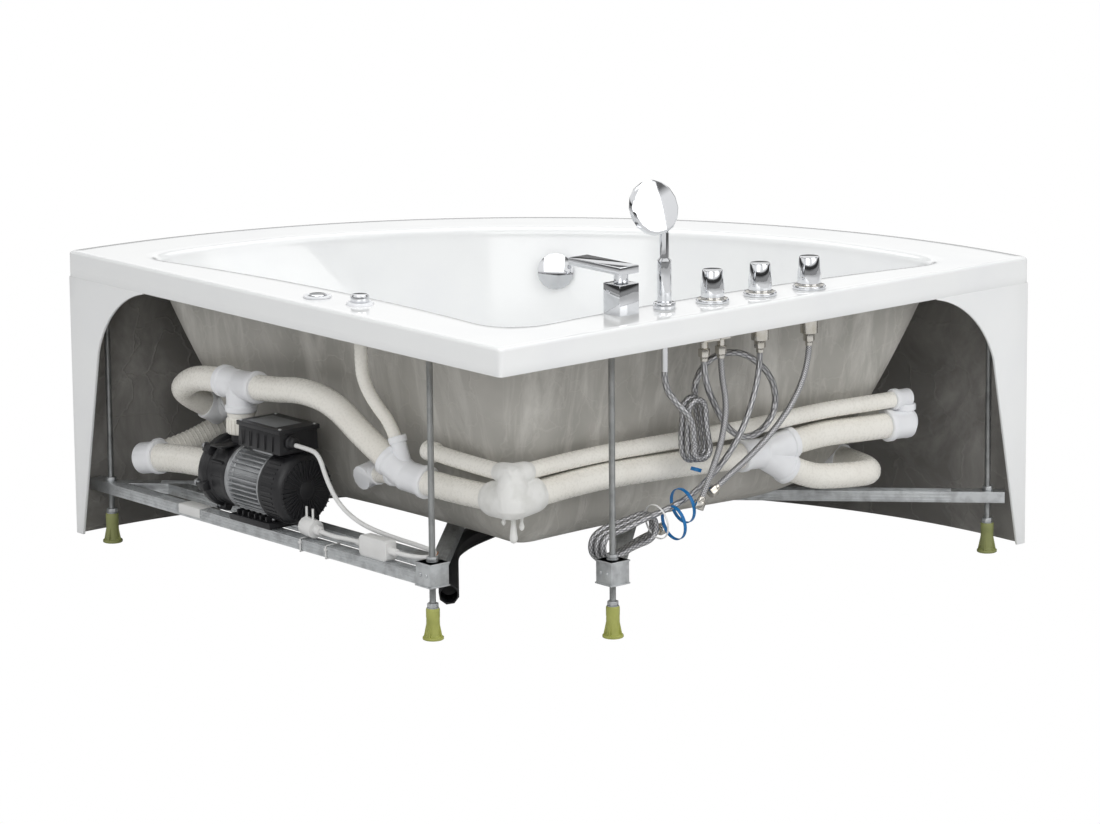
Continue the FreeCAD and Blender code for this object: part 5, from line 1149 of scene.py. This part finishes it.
piece("suction_pipe", suction, [pipe_white], "pipe_white", stands_for=("suction_pipe",))
hose_line = centre_line(spots([ELBOW, (1190, 150, 196), (1158, 240, 240), SUCTION_PORT]), 16)
ribbed = Form()
ribbed.tube(hose_line, 0.0455, 36)
walked, RIB_STEP = 0.0, 0.008
for start, end in zip(hose_line, hose_line[1:]):
    walked += (end - start).length
    if walked > RIB_STEP:
        ribbed.turned([(22, -1.9), (24, -1), (24, 1), (22, 1.9)], (start + end) / 2,
                      (end - start).normalized(), 32)
        walked = 0.0
piece("ribbed_suction_hose", ribbed, [pipe_white], "pipe_white", stands_for=("suction_hose",), ease=0.3)
for name in ("overflow_pipe", "waste_pipe"):
    dressed(name, black_plastic, "black_plastic", ease=0.4)
print("pipes:", len(PRESSURE) + len(AIR) + 2)

# %% Fittings
fittings = Form()


def collar(centre, towards, length, dia):
    """One socket of a fitting, with its rim."""
    way = (spot(*towards) - spot(*centre)).normalized()
    wide = dia / 2
    fittings.turned([(0, -8), (wide - 1.5, -8), (wide - 1.5, length - 14), (wide + 1.5, length - 12),
                     (wide + 1.5, length - 2), (wide, length), (wide - 4, length), (0, length - 6)],
                    spot(*centre), way, 44)


for centre, towards, length, dia in (
        (TEE, (790, 80, 386), 58, 61), (TEE, (975, 80, 381), 58, 61), (TEE, (890, 80, 320), 52, 61),
        (WYE, (532, 112, 322), 58, 61), (WYE, (300, 145, 256), 58, 61), (WYE, SIDE_PORT, 62, 39),
        (WYE, (466, 126, 354), 78, 33), (TAP_WYE, (150, 480, 277), 58, 61),
        (TAP_WYE, (134, 890, 283), 76, 61),
        (TAP_WYE, (132, 862, 205), 76, 61), (END, (114, 1000, 281), 48, 61), (END, END_PORT, 48, 61),
        (END_UPPER, (106, 1020, 331), 34, 39), (END, END_UPPER, 40, 39), (ELBOW, (1100, 80, 205), 45, 66),
        (ELBOW, (1190, 150, 196), 42, 60)):
    collar(centre, towards, length, dia)
fitting_piece = piece("sockets_wyes_and_elbows", fittings, [fitting_white], "fitting_white",
                      stands_for=("pipe_fittings",), ease=0.6)
joint = Form()
for centre, towards, length, dia in (
        (JOINT, (300, 145, 256), 64, 72), (JOINT, (150, 300, 279), 64, 72),
        (JOINT_UPPER, (290, 150, 315), 44, 44), (JOINT_UPPER, (151, 300, 324), 44, 44)):
    way = (spot(*towards) - spot(*centre)).normalized()
    joint.turned([(0, -20), (dia / 2 - 6, -18), (dia / 2 - 1, -8), (dia / 2, 10), (dia / 2 - 2, length - 12),
                  (dia / 2 - 6, length), (0, length)], spot(*centre), way, 40)
joint.turned([(0, -36), (22, -34), (33, -20), (35, 0), (30, 26), (20, 52), (0, 62)], spot(149, 149, 270),
             UP, 44)
DRIPS = ((163, 163, 250, 180, 8), (150, 172, 246, 205, 5.5), (176, 150, 246, 214, 5))
for along, out, top, tip, wide in DRIPS:
    hang = tip - top
    joint.turned([(0, hang), (wide * 0.7, hang + 3), (wide, hang + 9), (wide * 0.55, -24), (wide * 0.9, 0),
                  (0, 2)], spot(along, out, top), UP, 20)
joint_piece = piece("epoxy_corner_joint", joint, [epoxy], "fitting_white", stands_for=("corner_joint",),
                    melt=1.6)
print("fittings:", len(fitting_piece.data.polygons), "faces; joint:", len(joint_piece.data.polygons))

# %% [markdown]
# The deck fittings are chromed brass: square spout, round hand shower, three knobs with their rosettes,
# and two air buttons. Under the deck each tap has a brass thread and a nut on its braided hose.

# %% Deck fittings
dressed("spout_base", chrome, "chrome", ease=1.4)
dressed("spout", chrome, "chrome", body="spout", ease=1.4)
holder = Form()
holder.turned([(0, 0), (20, 0), (21, 1), (21, 10), (19.5, 12), (15, 12), (14, 14), (0, 14)],
              spot(87, 471, RIM), UP, 48)
piece("hand_shower_ring", holder, [chrome], "chrome", stands_for=("handset_holder",), ease=0.3)
dressed("handset", chrome, "chrome", body="handset", ease=0.8)
for name, along, out in (("knob_diverter", 73, 579), ("knob_hot", 64, 692), ("knob_cold", 50, 806)):
    knob = Form()
    knob.turned([(0, 0.2), (31, 0.2), (31.5, 1), (31.5, 5), (30, 7), (24, 7.6), (22, 8), (22.5, 9),
                 (22.5, 30), (21, 40), (19.5, 60), (18.5, 62), (0, 62)], spot(along, out, RIM), UP, 56)
    piece(f"tap_{name}", knob, [chrome], "chrome", body=name, stands_for=(name,), ease=0.3)
for name, material, slot, body in (
        ("pump_button", chrome, "chrome", "pump_button"), ("air_knob", chrome, "chrome", "air_knob"),
        ("deck_air_fittings", fitting_white, "fitting_white", "tub"),
        ("tap_valves", brass, "brass_nut", "tub"),
        ("jets", fitting_white, "fitting_white", "tub"), ("drain_body", chrome, "chrome", "tub"),
        ("drain_plug", chrome, "chrome", "drain_plug"), ("overflow_body", chrome, "chrome", "tub"),
        ("overflow_knob", chrome, "chrome", "overflow_knob")):
    dressed(name, material, slot, body=body, ease=0.4)
print("the deck stands", RIM, "mm up; its spout, hand shower, taps and buttons are on it")

# %% [markdown]
# Small marks of the fitter's work: nylon ties, a pad of tape on the rail and a bonding wire. A tie at a
# hose is an oval band, and a tie on the rail is four straight strips round its section. The bands by the
# wound hose are far wider than the hose, so they sit loose.

# %% Ties and tape
blue_ties, white_ties = Form(), Form()
HOSE_TIE = (31, 33)
BLUE_TIES = (((80, 543, 277), heading(-0.1, 0.35, 0.93), (10, 8)), ((75, 505, 214), lower_way, HOSE_TIE),
             ((75, 482, 185), lower_way, HOSE_TIE))
for place, way, (reach_out, rise) in BLUE_TIES:
    blue_ties.strap(spot(*place), way, heading(1, 0, 0), reach_out, rise, 7, 1.6)
white_ties.strap(spot(76, 440, 193), lower_way, heading(1, 0, 0), *HOSE_TIE, 3.5, 1.6)
for along in (560, 640):
    for hand in (-1, 1):
        white_ties.block(spot(along, 45 + hand * 16.8, RAIL_UP), (3.5, 1.4, 27))
        white_ties.block(spot(along, 45, RAIL_UP + hand * 12.8), (3.5, 35, 1.4))
white_ties.block(spot(560, 28, 119), (6, 5, 5))
white_ties.block(spot(640, 28, 119), (6, 5, 5))
piece("blue_hose_ties", blue_ties, [tie_blue], "cable_white", ease=0.2)
piece("white_zip_ties", white_ties, [cable_white], "cable_white", ease=0.2)
pad = Form()
pad.block(spot(1000, 45, 126), (70, 31, 1.4))
pad.block(spot(1000, 29, 117), (70, 1.4, 18))
piece("tape_pad", pad, [cable_white], "cable_white", ease=0.3)
copper_line = centre_line(spots([(306, 96, 150), (286, 84, 156), (272, 64, 152), (262, 60, 140),
                                 (268, 52, 132)]), 8)
copper_wire = Form()
copper_wire.tube(copper_line, 0.0022, 8)
piece("bonding_wire", copper_wire, [copper], "zinc")
print("ties:", len(BLUE_TIES), "blue and 3 white")

# %% Hose nuts, breaker and plug
def nut_on(name, ends, stands_for=()):
    """A hexagon nut and its sleeve at each end of a hose."""
    form = Form()
    for place, way in ends:
        form.hexagon(place, way, 20, 16)
        form.turned([(0, -9), (6.6, -9), (7.4, -7), (7.4, 0), (0, 0)], place, way, 24)
    return piece(name, form, [brass], "brass_nut", stands_for=stands_for, ease=0.6)


def free_end(route):
    return route[-1], (route[-1] - route[-2]).normalized()


shower_nuts = nut_on("shower_hose_nut", [(spot(73, 557.5, 493), UP)], ("hose_nuts",))
spout_nuts = nut_on("spout_hose_nuts", [(spot(73, 600.5, 493), UP), free_end(spout_route)])
cold_nuts = nut_on("cold_hose_nuts", [(spot(50, 806, 493), UP), free_end(cold_route)])
hot_nuts = nut_on("hot_hose_nuts", [(spot(64, 692, 493), UP), free_end(hot_route)])
breaker = dressed("residual_current_breaker", cable_white, "cable_white", ease=1.4)
mains_plug = dressed("mains_plug", cable_white, "cable_white", ease=0.9)
endings = (shower_nuts, spout_nuts, cold_nuts, hot_nuts, breaker, mains_plug)
for (hose, start, length, diameter, far_end, stiffness), ending in zip(declarations, endings):
    print(hose.name, "ends at", ending.name)

# %% [markdown]
# A white floor, an even surround and three soft lamps light the tub from above and from both sides.
# Mirrors need something dark to reflect, so reflections see a second surround with two dark bands, one
# near the horizon and one higher up.

# %% Floor and light
def toned_light(tree, level, tones, strength=1.0):
    """A background whose grey depends on how high one looks."""
    ramp = node(tree, "ShaderNodeValToRGB", {"Fac": level})
    while len(ramp.color_ramp.elements) < len(tones):
        ramp.color_ramp.elements.new(0.5)
    for element, (position, tone) in zip(ramp.color_ramp.elements, tones):
        element.position = position
        element.color = (tone, tone, tone, 1)
    return node(tree, "ShaderNodeBackground", {"Strength": strength, "Color": ramp.outputs["Color"]}
                ).outputs["Background"]


def surround():
    world = bpy.data.worlds.new("bright_surround")
    bpy.context.scene.world = world
    world.use_nodes = True
    tree = world.node_tree
    tree.nodes.clear()
    place = node(tree, "ShaderNodeTexCoord").outputs["Generated"]
    level = node(tree, "ShaderNodeSeparateXYZ", {"Vector": place}).outputs["Z"]
    light = toned_light(tree, level, ((0.0, 0.55), (0.05, 0.30), (0.16, 0.62), (0.45, 0.95), (1.0, 1.1)),
                        0.70)
    mirror = toned_light(tree, level, ((0.0, 0.30), (0.04, 0.03), (0.12, 0.05), (0.17, 0.95), (0.40, 1.0),
                                       (0.46, 0.16), (0.62, 0.22), (0.70, 1.0), (1.0, 0.9)))
    white = node(tree, "ShaderNodeBackground", {"Color": (1, 1, 1, 1)}).outputs["Background"]
    path = node(tree, "ShaderNodeLightPath").outputs
    seen = node(tree, "ShaderNodeMixShader", {"Fac": path["Is Glossy Ray"], 1: light, 2: mirror})
    mix = node(tree, "ShaderNodeMixShader", {"Fac": path["Is Camera Ray"], 1: seen.outputs["Shader"],
                                             2: white})
    node(tree, "ShaderNodeOutputWorld", {"Surface": mix.outputs["Shader"]})


def studio_floor():
    material, tree, shader = shaded("white_floor")
    shader.inputs["Base Color"].default_value = (0.75, 0.75, 0.75, 1)
    shader.inputs["Roughness"].default_value = 0.9
    glow = node(tree, "ShaderNodeEmission", {"Color": (1, 1, 1, 1)})
    path = node(tree, "ShaderNodeLightPath")
    mix = node(tree, "ShaderNodeMixShader", {"Fac": path.outputs["Is Camera Ray"], 1: shader.outputs["BSDF"],
                                             2: glow.outputs["Emission"]})
    join(tree, mix.outputs["Shader"], tree.nodes["Material Output"].inputs["Surface"])
    mesh = bpy.data.meshes.new("studio_floor")
    mesh.from_pydata([(-9, -9, -0.001), (9, -9, -0.001), (9, 9, -0.001), (-9, 9, -0.001)], [], [(0, 1, 2, 3)])
    mesh.materials.append(material)
    floor = bpy.data.objects.new("studio_floor", mesh)
    bpy.context.collection.objects.link(floor)
    return floor


surround()
LAMPS = (("soft_light_left", (-2.6, 3.4, 2.6), 40, 2.6), ("soft_light_right", (-3.4, -0.6, 2.4), 30, 2.4),
         ("soft_light_above", (0.6, -0.4, 3.6), 40, 3.0))
for name, place, power, wide in LAMPS:
    lamp = bpy.data.lights.new(name, "AREA")
    lamp.energy = power
    lamp.size = wide
    holder = bpy.data.objects.new(name, lamp)
    holder.location = place
    holder.rotation_euler = (Vector((0, 0, 0.35)) - Vector(place)).to_track_quat("-Z", "Y").to_euler()
    bpy.context.collection.objects.link(holder)
studio_floor()
scene = bpy.context.scene
scene.view_settings.view_transform = "Standard"
